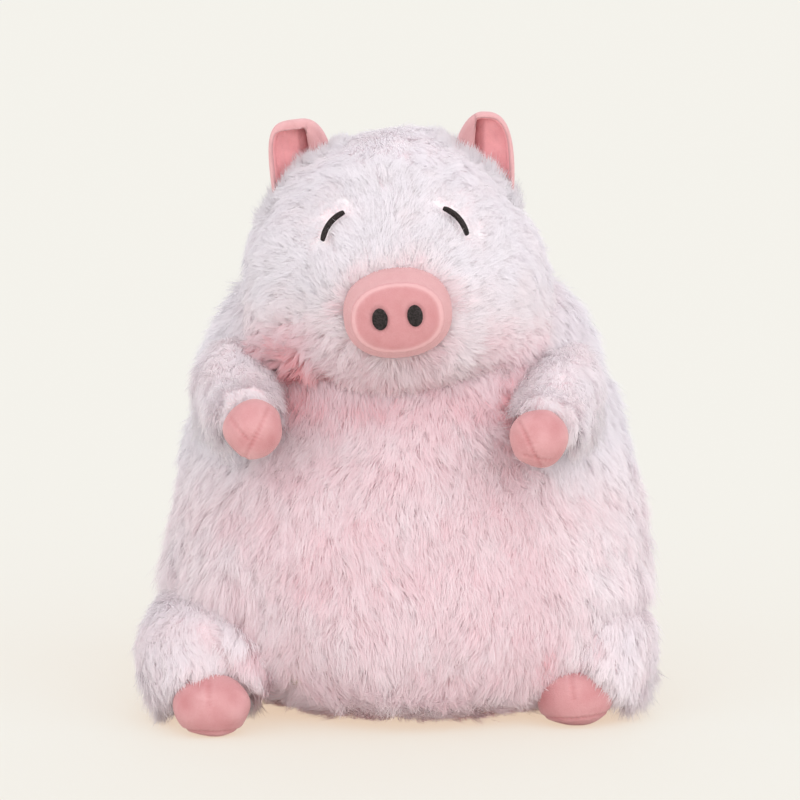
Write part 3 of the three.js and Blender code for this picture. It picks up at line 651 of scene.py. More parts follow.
def pink_velour():
    c = bpy.context.scene.plush_colours
    return material("pink_velour", velour, c.velour_deep, c.velour_pale)


def lining_velour():
    c = bpy.context.scene.plush_colours
    return material("rose_lining_velour", velour, c.lining_deep, c.lining_pale)


def satin_stitch(tree):
    """Rayon embroidery thread in satin stitch: near black, with the gloss of parallel threads."""
    c = bpy.context.scene.plush_colours
    fibre = texture(tree, "TexNoise", Scale=1200.0, Detail=2.0)
    colour = add(tree, "ValToRGB", {0: fibre}, ramp=((0.35, c.thread_deep), (0.7, c.thread_pale)))
    return add(tree, "BsdfPrincipled", {
        "Base Color": colour, "Roughness": 0.55, "Anisotropic": 0.4, "Specular IOR Level": 0.2})


def loose_filling(tree, colour, scale):
    """Loose fibre or plain cotton: matt, with a soft uneven surface."""
    puff = texture(tree, "TexNoise", Scale=scale, Detail=4.0)
    shade = add(tree, "ValToRGB", {0: puff}, ramp=((0.3, tuple(0.82 * v for v in colour)), (0.7, colour)))
    bump = add(tree, "Bump", {"Height": puff, "Strength": 0.6, "Distance": 0.002})
    return add(tree, "BsdfPrincipled", {"Base Color": shade, "Roughness": 1.0, "Normal": bump})


def lit_floor(tree, stage):
    """A floor that lights the pig as a plain pale one, and that the camera sees as a glow plus its share of light."""
    path = add(tree, "LightPath").outputs
    seen = add(tree, "Math", {0: path["Is Camera Ray"], 1: path["Is Glossy Ray"]})
    seen = add(tree, "Math", {0: seen, 1: path["Is Transmission Ray"]}, use_clamp=True)
    glow = add(tree, "Emission", {"Color": opaque(stage.glow), "Strength": 1.0})
    shade = add(tree, "BsdfDiffuse", {"Color": opaque(stage.shade)})
    plain = add(tree, "BsdfDiffuse", {"Color": opaque(stage.floor)})
    return add(tree, "MixShader", {0: seen, 1: plain, 2: add(tree, "AddShader", {0: glow, 1: shade})})


# Settings that a user would change

def number(name, default, description, low=0.0, high=40.0):
    return FloatProperty(name=name, description=description, default=default, min=low, max=high)


def colour(name, default, description):
    return FloatVectorProperty(name=name, description=description, default=linear(default), subtype="COLOR",
                               min=0.0, max=1.0, size=3)


class PlushSizes(bpy.types.PropertyGroup):
    """Sizes of the pile and the cloth."""
    root_depth: number("Root depth", 4.2, "Millimetres from the mean surface of the pile down to its backing")
    body_length: number("Body pile", 12.0, "Millimetres of fibre on the body")
    head_length: number("Head pile", 10.0, "Millimetres of fibre on the head")
    limb_length: number("Limb pile", 11.0, "Millimetres of fibre on the arms and legs")
    strand_width: number("Strand width", 0.4, "Millimetres across a lock of a few fibres")
    density: number("Density", 1.0, "Tufts for each one that the spacing gives", 0.05, 2.0)
    swell_cap: number("Swell", 3.0, "Millimetres that the stuffing may push the skin out")


class PlushColours(bpy.types.PropertyGroup):
    """Colours of the pile, the velour and the thread."""
    # The crease colours are also painted shade: the combs lower the tone towards them in creases, folds and where
    # parts meet
    pile_crease: colour("Pile in creases", 0xFAA6AC, "Tips of the pile where it is pressed in")
    pile_belly: colour("Pile on the belly", 0xF5E2E6, "Tips of the pile on the front")
    pile_flank: colour("Pile on the sides", 0xF8F1F3, "Tips of the pile on the sides and the cheeks")
    pile_crown: colour("Pile on the crown", 0xF6F3F6, "Tips of the pile on the crown and the arms")
    root_crease: colour("Root in creases", 0xF4949B, "Roots of the pile where it is deep pink")
    root_crown: colour("Root on the crown", 0xF8F3F5, "Roots of the pile where it is palest")
    velour_deep: colour("Velour, deep", 0xBE7D80, "The velour with its nap away from the eye")
    velour_pale: colour("Velour, pale", 0xDAAAAC, "The velour with its nap towards the eye")
    lining_deep: colour("Lining, deep", 0xB96C70, "The ears' lining with its nap away from the eye")
    lining_pale: colour("Lining, pale", 0xFAB3B7, "The ears' lining with its nap towards the eye")
    thread_deep: colour("Thread, deep", 0x17120F, "Between two threads")
    thread_pale: colour("Thread, pale", 0x3A3233, "On top of a thread")


class PlushStage(bpy.types.PropertyGroup):
    """The floor and the light."""
    floor: colour("Floor", 0xE6E2DA, "The plain pale floor that the pig is lit from")
    glow: colour("Floor glow", 0xE1C5AC, "What the camera still sees of the floor in full shadow")
    shade: colour("Floor shade", 0x628C9C, "What the light adds to that on the open floor")
    sun: number("Key light", 1.28, "Strength of the large soft light", high=10.0)
    room: number("Room light", 0.86, "Strength of the light from all round", high=3.0)


# Skins and their pile. A comb gives, for points and normals of a skin, the way that the pile lies, its lean from the
# normal in radians, its length, its tone from 0 in a crease to 1 on the crown, and how far its tufts draw in.

# Rings and sectors of each skin, and how far the lowest cloth stays over the floor
SKIN_GRIDS = dict(body=(70, 90), head=(60, 80), limb=(46, 56))
BODY_FLOOR, LIMB_FLOOR = 1.2, 1.6
# Spots on the front, each with its strength, x, z, width and height: where the pile is tangled, and where it is
# painted deeper pink as shade under the chin, beside the arms and beside the legs
TANGLES = ((1, 60, 165, 14, 26), (0.25, -66, 178, 12, 12))
ARM_CREASE_SHADE = ((0.12, 0, 180, 70, 10), (0.26, -66, 180, 20, 10), (0.27, 60, 170, 10, 24))
LEG_CREASE_SHADE = ((0.2, -84, 40, 9, 26), (0.15, 78, 40, 9, 24))


def limb_skin(kind, size, name, hand, place):
    """The skin of a sleeve, lying against the body and under the head, and its form."""
    form = limb_form(size, hand, place)
    depth = bpy.context.scene.plush_sizes.root_depth + size["skin_depth"]
    points = ball_points(form.drawn_in(depth).surface, *SKIN_GRIDS["limb"])
    if kind == "leg":
        inner = smooth(-hand * (points[:, 0] - place[0]), 2, 26) * smooth(form.nearest(points)[0], 0.45, 0.8)
        points[:, 1] -= 10 * inner
        points[:, 0] -= hand * 5 * inner
    points += unit(points - points.mean(axis=0)) * (0.8 * waves(points, 34, 11 + len(name)))[:, None]
    if kind == "arm":
        points[:, 0] -= hand * 5 * smooth(hand * points[:, 0], 88, 112)
    off = (points - place) / (size["broad"], 1, 1)
    ring = bell(np.hypot(off[:, 0], off[:, 2]) - size["ball"], 3.5, 5) * (off[:, 1] < 24)
    points[:, 1] -= size["cuff_push"] * ring
    points = pushed_out(points, BODY_FORM, -1.5)
    if kind == "arm":
        points = tilted(pushed_out(upright(points), HEAD_FORM, -2.0))
    points[:, 2] = np.maximum(points[:, 2], LIMB_FLOOR)
    skin = put(f"{kind}_{name}_skin", points, ball_faces(*SKIN_GRIDS["limb"]), material(*BACKING), f"{kind}_{name}",
               replaces=(f"{kind}_{name}_plush",))
    stuffed(skin, lambda p: bell(p[:, 2] - form.centre(form.nearest(p)[0])[:, 2], 0, 2.5), 2.0, voxel=4.0)
    return skin, form


def swayed(flow, n, sway):
    """A flow over a skin, brought to a length of 1 and turned aside by a length."""
    return unit(flow) + unit(np.cross(n, flow)) * sway[:, None]


def comb_limb(kind, size, form, place):
    """Pile that runs down the sleeve and in over the edge of the cuff onto the ball, longer under it than on top.

    Along the fold on the inner side of a leg it parts and is shorter, and is painted deeper pink there as shade.
    """
    long, hand = bpy.context.scene.plush_sizes.limb_length, np.sign(place[0])
    mirror, fold_way = np.array((-hand, 1.0)), LEG_FOLD[1] - LEG_FOLD[0]

    def comb(p, n):
        at, _ = form.nearest(p)
        cuff = smooth(at, 0.72, 0.95)[:, None]
        inwards = unit((place - (0, 4, 0)) - p)
        flow = form.along(at) * 0.5 * (1 - cuff) - UP * (0.9 - 0.3 * cuff) + inwards * cuff
        flow = swayed(flow, n, ripples(p, (0.25, 30, 21), (0.14, 11, 22)))
        flat = (p - place)[:, (0, 2)] / (size["broad"], 1.0)
        collar = smooth(at, 0.7, 0.85) * (1 - smooth(np.linalg.norm(flat, axis=1), 19, 27)) * (n[:, 1] < 0.2)
        under = smooth(-n[:, 2], 0.1, 0.6) * (1 - collar)
        lean = 1.18 + 0.06 * waves(p, 24, 23) - 0.35 * collar - 0.42 * under
        tall = long * (1 + 0.06 * waves(p, 28, 24) - 0.1 * collar + 0.35 * under)
        tall *= 1 - 0.25 * smooth(n[:, 2], 0.5, 0.95)
        tone = 0.8 + 0.04 * waves(p, 20, 25)
        # Painted shade: deeper pink where the sleeve lies against the body and faces in or down
        tone -= 0.3 * smooth(BODY_FORM.depth(p), -9, -1) * (hand * n[:, 0] < 0.2) * (n[:, 2] < 0.3)
        if kind == "leg":
            off = (p - place)[:, (0, 2)] * mirror - LEG_FOLD[0]
            share = np.clip(dot(off, fold_way)[:, 0] / (fold_way @ fold_way), 0, 1)
            off = (off - share[:, None] * fold_way) * mirror
            fold = bell(np.linalg.norm(off, axis=1), 0, 5) * (p[:, 1] < place[1] + 45)
            flow += np.insert(unit(off), 1, 0.0, axis=1) * (1.6 * fold)[:, None]
            # Painted shade: deeper pink along the fold
            tone -= 0.2 * fold
            tall *= 1 - 0.3 * fold
        return flow, lean, tall, tone, 0.15 + 0.1 * waves(p, 18, 26)
    return comb


def spot(p, x, z, wide, tall):
    """1 at a place on the front and 0 away from it, as a bell over a width and a height."""
    return np.exp(-(((p[:, 0] - x) / wide) ** 2) - ((p[:, 2] - z) / tall) ** 2) * (p[:, 1] < 0)


def spots(p, places):
    return sum(strength * spot(p, *place) for strength, *place in places)


def comb_body(p, n):
    """Pile that hangs down the body in wandering streaks, spread outwards on the shoulders.

    It is tangled beside the arms, and longer at the nape and where it falls over the tops of the arms and legs.
    """
    wide, tangle = np.abs(p[:, 0]), spots(p, TANGLES)
    nape = smooth(p[:, 2], 196, 222) * smooth(p[:, 1], 5, 40)
    out = unit(p * (1, 1, 0) - (0, 8, 0))
    flow = -UP + out * (0.15 + 0.6 * np.maximum(0, n[:, 2:]) + 1.5 * np.maximum(0, -n[:, 2:]))
    flow = swayed(flow, n, ripples(p, (0.2, 70, 1), (0.18, 22, 2), (0.1, 9, 3)) + 2.2 * tangle * waves(p, 8, 10))
    lean = 1.16 + 0.08 * waves(p, 36, 4) + 0.06 * waves(p * (2.2, 2.2, 1), 16, 5)
    lean = lean - 0.4 * tangle - 0.4 * nape
    over = bell(p[:, 2], 84, 13) + 0.35 * bell(p[:, 2], 210, 16)
    over = over * smooth(wide, 66, 88) * (1 - smooth(p[:, 1], 0, 40))
    tall = bpy.context.scene.plush_sizes.body_length * (1 + 0.07 * waves(p, 40, 6) + 0.3 * nape)
    tone = 0.57 + 0.18 * smooth(wide, 60, 125) + 0.3 * smooth(wide, 62, 84) * smooth(p[:, 2], 120, 165)
    tone += 0.02 * waves(p, 34, 7) + 0.03 * waves(p * (2.5, 2.5, 1), 22, 8) + 0.12 * smooth(p[:, 1], -20, 50)
    # Painted shade: deeper pink in the creases under the chin and beside the arms and the legs
    tone -= spots(p, ARM_CREASE_SHADE)
    # Painted shade: the pile is also deeper pink in its lowest 14 mm, where it meets the floor
    tone -= spots(p, LEG_CREASE_SHADE) + 0.15 * (1 - smooth(p[:, 2], 2, 14))
    return flow, lean, tall * (1 + 0.7 * over), tone, 0.12 + 0.1 * waves(p, 30, 9) + 0.6 * tangle


def comb_head(p, n):
    """Pile that runs out from the snout over the face and then down and back.

    It is combed away from the stitched eyes and short round them, tangled on one cheek, steep at the ears and
    longer at the nape.
    """
    q = upright(p)
    out = q - SNOUT_FACE
    near = (1 - smooth(np.linalg.norm(out, axis=1), 45, 125))[:, None]
    ears = 1 - smooth(ear_distance(q), 3, 15)
    eyes = 1 - smooth(eye_distance(q), 4, 15)
    cheek = spot(q, -58, CHIN + 34, 24, 22)
    nape = (1 - smooth(q[:, 2], CHIN + 6, CHIN + 40)) * smooth(q[:, 1], 5, 40)
    down = (0, 0.35, -1.0) + unit(q * (1, 1, 0)) * (0.3 + np.maximum(0, n[:, 2:]) * 1.2)
    flow = unit(out) * near + unit(down) * (1 - near)
    flow = flow * (1 - ears)[:, None] + (UP * 1.5 + (0, 0.6, 0)) * ears[:, None]
    side = unit(np.cross(n, flow))
    flow = unit(flow) + side * ripples(p, (0.34, 46, 31), (0.24, 16, 32))[:, None]
    flow += side * (1.3 * cheek * waves(p, 8, 38))[:, None]
    flow += np.insert(unit(eye_offset(q)), 1, 0.0, axis=1) * (1.3 * eyes)[:, None]
    lean = 1.2 + 0.06 * waves(p, 30, 33) - 0.6 * cheek - 0.25 * nape + 0.15 * eyes - 0.45 * ears
    tall = bpy.context.scene.plush_sizes.head_length * (1 + 0.06 * waves(p, 30, 34))
    tall = tall * (1 - 0.6 * eyes - 0.25 * smooth(n[:, 2], 0.6, 0.95) + 0.5 * nape)
    low = 1 - smooth(q[:, 2], CHIN + 6, CHIN + 78)
    tone = 0.97 - (0.54 - 0.1 * smooth(q[:, 0], 10, 50)) * low * smooth(-q[:, 1], 0, 40)
    # Painted shade: the tangled cheek is deeper pink for the shade between its tufts
    tone = tone - 0.36 * cheek + 0.04 * waves(p, 26, 35) + 0.03 * waves(p, 10, 36)
    # Painted shade: deeper pink at the foot of the head, in the crease under the chin
    tone -= 0.2 * (1 - smooth(q[:, 2], CHIN + 1, CHIN + 9)) + 0.12 * spot(q, 56, CHIN + 40, 24, 24)
    tone -= 0.3 * smooth(snout_share(q), 1.35, 1.0) * (q[:, 2] > CHIN + SNOUT["over_chin"])
    return flow, lean, tall, tone, 0.05 + 1.1 * cheek + 0.08 * waves(p, 18, 37)


def eye_path(hand, s):
    """The arc of a closed eye at share s: a chord up towards the middle with a bulge, laid on the face."""
    slope = math.radians(EYE["slope"])
    run, rise = EYE["chord"] * (s - 0.5), EYE["bulge"] * (4 * s * (1 - s) - 0.5)
    across = EYE["apart"] / 2 - run * math.cos(slope) + rise * math.sin(slope)
    return face_point(hand * across, EYE["over_chin"] + run * math.sin(slope) + rise * math.cos(slope))


def eye_offset(q):
    """The way from the nearer eye's arc to upright points, seen from the front."""
    arcs = np.concatenate([eye_path(hand, np.linspace(0, 1, 15)) for _, hand in SIDES])[:, [0, 2]]
    away = q[:, None, [0, 2]] - arcs
    return away[np.arange(len(q)), np.linalg.norm(away, axis=-1).argmin(axis=1)]


def eye_distance(q):
    """How far upright points lie from the nearer eye's arc, seen from the front."""
    return np.linalg.norm(eye_offset(q), axis=1) + np.where(q[:, 1] > 0, FAR_OFF, 0)


def ear_distance(q):
    """How far upright points lie from the foot of the nearer ear, seen from above."""
    feet = np.array([(hand * EAR["apart"] / 2, -EAR["forward"] - 6) for _, hand in SIDES])
    away = np.abs(q[:, None, :2] - feet) - (15.0, 6.0)
    return np.linalg.norm(np.maximum(0, away), axis=-1).min(axis=1) + np.where(q[:, 2] < CROWN - 50, FAR_OFF, 0)


def snout_share(q):
    """Each upright point's distance from the snout's middle, as a share of the snout's outline there."""
    flat = (q - SNOUT_FACE) @ ROLL
    return np.hypot(flat[:, 0] / SNOUT["half"], flat[:, 2] / SNOUT["tall"]) + np.where(q[:, 1] > 0, 9, 0)


# Velour pieces

# Rings and sectors of each velour surface, and how far a ball stays over the floor
BALL_GRID, SNOUT_GRID, EAR_GRID = (84, 130), (130, 180), (110, 150)
BALL_FLOOR = 0.3
# A ball's seam: half-width of its furrow, then the height, place and half-width of the swell on both sides of it,
# then the height, length and reach of its gathers
SEAM = dict(furrow=1.2, swell=0.14, swell_at=2.0, swell_wide=1.2, gather=0.16, pitch=2.4, reach=2.6)
DEGREES_A_RADIAN = 57.3


def ball_surface(place, radius, broad, seams):
    """A stuffed velour ball: direction times radius, drawn in along each seam and gathered beside it.

    A seam is (normal, offset, first, last, depth): the circle where direction . normal = offset, between two
    angles round that normal from the front. It sinks by depth in a bell curve and its gathers are cosine ridges
    across it that fade with the distance.
    """
    def surface(t, angle):
        v = np.pi * t
        d = np.stack((np.sin(v) * np.cos(angle), np.cos(v), np.sin(v) * np.sin(angle)), -1)
        rise = 0.3 * waves(d * radius, 16, int(abs(place[0])))
        for normal, offset, first, last, depth in seams:
            m = unit(np.array(normal, float))
            a = unit((0, -1.0, 0) + m[1] * m)
            b = np.cross(m, a)
            away = radius * (np.arcsin(np.clip(d @ m, -1, 1)) - math.asin(offset))
            about = np.degrees(np.arctan2(d @ b, d @ a))
            on = smooth(about, first - 8, first + 8) * (1 - smooth(about, last - 8, last + 8))
            turn = about * radius / DEGREES_A_RADIAN * 2 * np.pi / SEAM["pitch"] + 1.5 * waves(d * radius, 6, 5)
            rise = (rise - on * depth * 0.5 * bell(away, 0, SEAM["furrow"])
                    + on * SEAM["swell"] * bell(np.abs(away), SEAM["swell_at"], SEAM["swell_wide"]))
            rise = rise + on * SEAM["gather"] * np.cos(turn) * np.exp(-np.abs(away) / SEAM["reach"])
        points = d * (radius + rise)[..., None] * (broad, 1, 1) + np.array(place, float)
        points[..., 2] = np.maximum(points[..., 2], BALL_FLOOR)
        return points
    return surface


HAND_SEAMS = {
    "left": (((0.9, 0, -0.43), 0.15, -75, 85, 1.0), ((0.75, 0, 0.66), -0.25, -60, 5, 0.6)),
    "right": (((-0.9, 0, -0.44), 0.34, -70, 75, 1.1), ((0.2, 0, 1), -0.55, -40, 40, 0.5)),
}
FOOT_SEAMS = {
    "left": (((0, 0, -1), 0.72, -100, 100, 1.0), ((1, 0, 0.06), 0.0, -70, -8, 0.7)),
    "right": (((0.1, 0, -1), 0.55, -100, 100, 1.0), ((1, 0, 0.1), -0.06, -75, -5, 0.8)),
}
# Shares of the snout's profile at the end of its root and at its sewn edge, and how far the front domes out
SNOUT_ROOT, SNOUT_SEAM, SNOUT_DOME = 0.08, 0.6, 4.6


def snout_surface(t, angle):
    """The snout as a drum on its side: from the root forwards its outline swells, turns in to the sewn edge of the
    front and closes in a low dome. The outline is an ellipse whose size follows the distance along the profile."""
    band = np.clip((t - SNOUT_ROOT) / (SNOUT_SEAM - SNOUT_ROOT), 0, 1)
    front = np.clip((t - SNOUT_SEAM) / (1 - SNOUT_SEAM), 0, 1)
    out = np.sqrt(np.clip(t / SNOUT_ROOT, 0, 1))
    out = out * (1.03 + 0.03 * np.sin(np.pi * band) - 0.12 * smooth(band, 0.6, 1) ** 1.5) * (1 - front)
    straight = SNOUT["projection"] + SNOUT["buried"] - SNOUT_DOME
    y = -straight * band - SNOUT_DOME * (1 - (1 - front) ** 3)
    notch = bell(t, SNOUT_SEAM, 0.012)
    pucker = 0.1 * np.cos(angle * 34 + 2 * np.sin(angle * 3)) * bell(t, SNOUT_SEAM, 0.04)
    rounded = [np.sign(f) * np.abs(f) ** 0.88 for f in (np.cos(angle), np.sin(angle))]
    x = (SNOUT["half"] * out - 0.35 * notch + pucker * out) * rounded[0]
    z = (SNOUT["tall"] * out * (1 - 0.09 * smooth(band, 0.5, 1)) - 0.35 * notch + pucker * out) * rounded[1]
    y = y + 0.2 * notch
    for _, hand in SIDES:
        near = np.hypot((x - hand * NOSTRIL["apart"] / 2) / NOSTRIL["half"], (z - NOSTRIL["above"]) / NOSTRIL["tall"])
        y = y + (0.8 * bell(near, 0, 1.2) - 0.3 * bell(near, 1.45, 0.3)) * (front > 0)
    y = y + 0.25 * waves(np.stack((x, y, z), -1), 15, 41) * (front > 0)
    root = SNOUT_FACE + (0, SNOUT["buried"], 0)
    return tilted((np.stack((x, y, z), -1) + root - SNOUT_TIP) @ ROLL.T + SNOUT_TIP)


# Millimetres from thread to thread
THREAD_PITCH = dict(nostril=0.8, eye=0.85)


def stitched(node, surface, rings, sectors):
    """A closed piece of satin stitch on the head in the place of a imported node."""
    put(f"{node}_stitch", ball_points(surface, rings, sectors), ball_faces(rings, sectors),
        material("rayon_satin_stitch", satin_stitch), "head", replaces=(node,))


# The operators, one for each piece or group of like pieces

class PLUSH_OT_body(bpy.types.Operator):
    """Sews the body's skin, stuffs it and covers it with pile"""
    bl_idname, bl_label = "plush.body", "Body"

    def execute(self, context):
        sizes = context.scene.plush_sizes
        points = ball_points(BODY_FORM.drawn_in(sizes.root_depth, floor=1.0).surface, *SKIN_GRIDS["body"])
        out = unit(points * (1, 1, 0) + UP * 1e-6)
        points += out * ripples(points, (1.7, 85, 51), (0.7, 34, 52))[:, None]
        points[:, 2] = np.maximum(points[:, 2], BODY_FLOOR)
        skin = put("body_skin", points, ball_faces(*SKIN_GRIDS["body"]), material(*BACKING), "torso",
                   replaces=("torso_plush",))

        def seams(p):
            sides = bell(p[:, 1] - 0.06 * p[:, 2], 0, 4) * (np.abs(p[:, 0]) > 60)
            back = bell(p[:, 0], 0, 4) * (p[:, 1] > 0)
            return np.maximum(np.maximum(sides, back), smooth(-p[:, 2], -4, -2))

        def bare(p, n):
            return (HEAD_FORM.depth(upright(p)) > 20) | (n[:, 2] < -0.93)

        stuffed(skin, seams, sizes.swell_cap)
        pile("body", skin, "torso", comb_body, bare, BODY_TUFT, 101)
        return {"FINISHED"}


class PLUSH_OT_head(bpy.types.Operator):
    """Sews the head's skin, seats it on the body, stuffs it and covers it with pile"""
    bl_idname, bl_label = "plush.head", "Head"

    def execute(self, context):
        sizes = context.scene.plush_sizes
        points = ball_points(HEAD_FORM.drawn_in(sizes.root_depth).surface, *SKIN_GRIDS["head"])
        middle = np.array((0, -HEAD["forward"], (CHIN + CROWN) / 2))
        calm = smooth(eye_distance(points), 3, 22)
        points += unit(points - middle) * (calm * ripples(points, (1.1, 60, 61), (0.5, 26, 62)))[:, None]
        points[:, 0] -= 6 * bell(points[:, 2] - CROWN, -40, 24) * smooth(points[:, 0], 35, 75)
        cheek = bell(points[:, 2] - CHIN, 22, 22) * smooth(np.abs(points[:, 0]), 32, 68)
        cheek *= 1 - smooth(points[:, 1], 10, 50)
        points += unit((points - middle) * (1, 0.7, 0.25)) * (9 * cheek)[:, None]
        points = lifted_off(tilted(points), BODY_FORM, -1.5)
        skin = put("head_skin", points, ball_faces(*SKIN_GRIDS["head"]), material(*BACKING), "head",
                   replaces=("head_plush",))

        def seams(p):
            q = upright(p)
            crown = bell(q[:, 0], 0, 3) * (q[:, 1] > -20)
            snout = bell(np.maximum(0, snout_share(q) - 1) * 20, 0, 4)
            return np.maximum(np.maximum(crown, snout), bell(eye_distance(q), 0, 7))

        def bare(p, n):
            q = upright(p)
            under_ear = (ear_distance(q) < 0.1) & (q[:, 1] > -EAR["forward"] - 10)
            return (BODY_FORM.depth(p) > 5) | (snout_share(q) < 0.96) | (eye_distance(q) < 1.8) | under_ear

        stuffed(skin, seams, sizes.swell_cap)
        pile("head", skin, "head", comb_head, bare, HEAD_TUFT, 102)
        return {"FINISHED"}


class PLUSH_OT_limbs(bpy.types.Operator):
    """Sews the arms and the legs with their velour hands and feet"""
    bl_idname, bl_label = "plush.limbs", "Arms and legs"

    def execute(self, context):
        kinds = (("arm", "hand", ARM, HANDS, HAND_SEAMS), ("leg", "foot", LEG, FEET, FOOT_SEAMS))
        for kind, end, size, places, seams in kinds:
            for name, hand in SIDES:
                self.limb(kind, end, size, name, hand, np.array(places[name], float), seams[name])
        return {"FINISHED"}

    def limb(self, kind, end, size, name, hand, place, seams):
        skin, form = limb_skin(kind, size, name, hand, place)

        def bare(p, n):
            flat = (p - place) / (size["broad"], 1, 1)
            in_ball = np.hypot(flat[:, 0], flat[:, 2]) < size["ball"] - 2.5
            hidden = (BODY_FORM.depth(p) > 15) | (n[:, 2] < -0.8) | (HEAD_FORM.depth(upright(p)) > 8)
            return hidden | in_ball & (form.nearest(p)[0] > 0.8)

        pile(f"{kind}_{name}", skin, f"{kind}_{name}", comb_limb(kind, size, form, place), bare, LIMB_TUFT,
             110 + len(kind) + hand)
        points = ball_points(ball_surface(place, size["ball"], size["broad"], seams), *BALL_GRID)
        # Painted shade and highlight: the velour is darker where the surface sinks into a seam and paler where it
        # swells
        rise = np.linalg.norm((points - place) / (size["broad"], 1, 1), axis=1) - size["ball"]
        put(f"{end}_{name}_velour", points, ball_faces(*BALL_GRID), pink_velour(), f"{kind}_{name}",
            replaces=(f"{end}_{name}",), nap=0.42 + 0.35 * np.clip(rise, -1, 1))


class PLUSH_OT_snout(bpy.types.Operator):
    """Makes the padded snout and its two stitched nostrils"""
    bl_idname, bl_label = "plush.snout", "Snout"

    def execute(self, context):
        points, share = grid(snout_surface, *SNOUT_GRID)
        # Painted highlight just in front of the sewn edge, and painted shade in the seam line; the front's deeper tone
        # is its nap
        nap = 0.75 - 0.45 * smooth(share, 0.6, 0.68) + 0.5 * bell(share, 0.625, 0.02)
        nap -= 0.22 * bell(share, 0.6, 0.01)
        put("snout_velour", points, ball_faces(*SNOUT_GRID), pink_velour(), "head",
            replaces=("snout_band", "snout_front"), nap=nap)
        for name, hand in SIDES:
            self.nostril(name, hand)
        return {"FINISHED"}

    def nostril(self, name, hand):
        """An upright oval of satin stitch: a low dome over the front, ridged by threads that run across it."""
        def surface(t, angle):
            out = np.sin(np.pi * t)
            x, z = NOSTRIL["half"] * out * np.cos(angle), NOSTRIL["tall"] * out * np.sin(angle)
            thread = 0.07 * np.abs(np.sin(np.pi * z / THREAD_PITCH["nostril"])) * (1 - out ** 6)
            lift = np.where(t > 0.5, 0.55 + 0.5 * np.sqrt(np.maximum(0, 1 - out ** 2)) + thread, -1.2)
            flat = np.stack((x + hand * NOSTRIL["apart"] / 2, -lift, z + NOSTRIL["above"]), -1) + SNOUT_TIP
            return tilted((flat - SNOUT_TIP) @ ROLL.T + SNOUT_TIP)

        stitched(f"nostril_{name}", surface, 60, 72)


class PLUSH_OT_eyes(bpy.types.Operator):
    """Stitches the two closed eyes"""
    bl_idname, bl_label = "plush.eyes", "Eyes"

    def execute(self, context):
        for name, hand in SIDES:
            def surface(t, angle, hand=hand):
                """A low dome across the arc and a rounded end at each tip, with threads as ridges along its run."""
                at = eye_path(hand, t)
                step = unit(eye_path(hand, np.minimum(t + 0.01, 1.01)) - eye_path(hand, t - 0.01))
                out = unit(at - (0, -HEAD["forward"], CHIN + 60))
                across = unit(np.cross(step, out))
                wide = EYE["half"] * end_share(t, 0.55, 0.55)[..., None]
                thread = 0.1 * np.abs(np.sin(np.pi * t * EYE["chord"] / THREAD_PITCH["eye"]))[..., None]
                c, s = np.cos(angle)[..., None], np.sin(angle)[..., None]
                high = (EYE["thick"] + 0.9 + thread) * np.sqrt(np.maximum(0, wide / EYE["half"]))
                return tilted(at + across * wide * c * (1 + 0.03 * thread) + out * (high * s + 1.0))

            stitched(f"eye_{name}", surface, 120, 28)
        return {"FINISHED"}


# Depths of the ear's two leaves under its face, and the shares of a leaf's width that lie flat, roll and round off
EAR_LEAVES = (("back", 0.0, 1.7, pink_velour), ("lining", 1.75, 3.4, lining_velour))
EAR_FLAT, EAR_ROLLED, EAR_RIM = 0.45, 0.55, 0.04


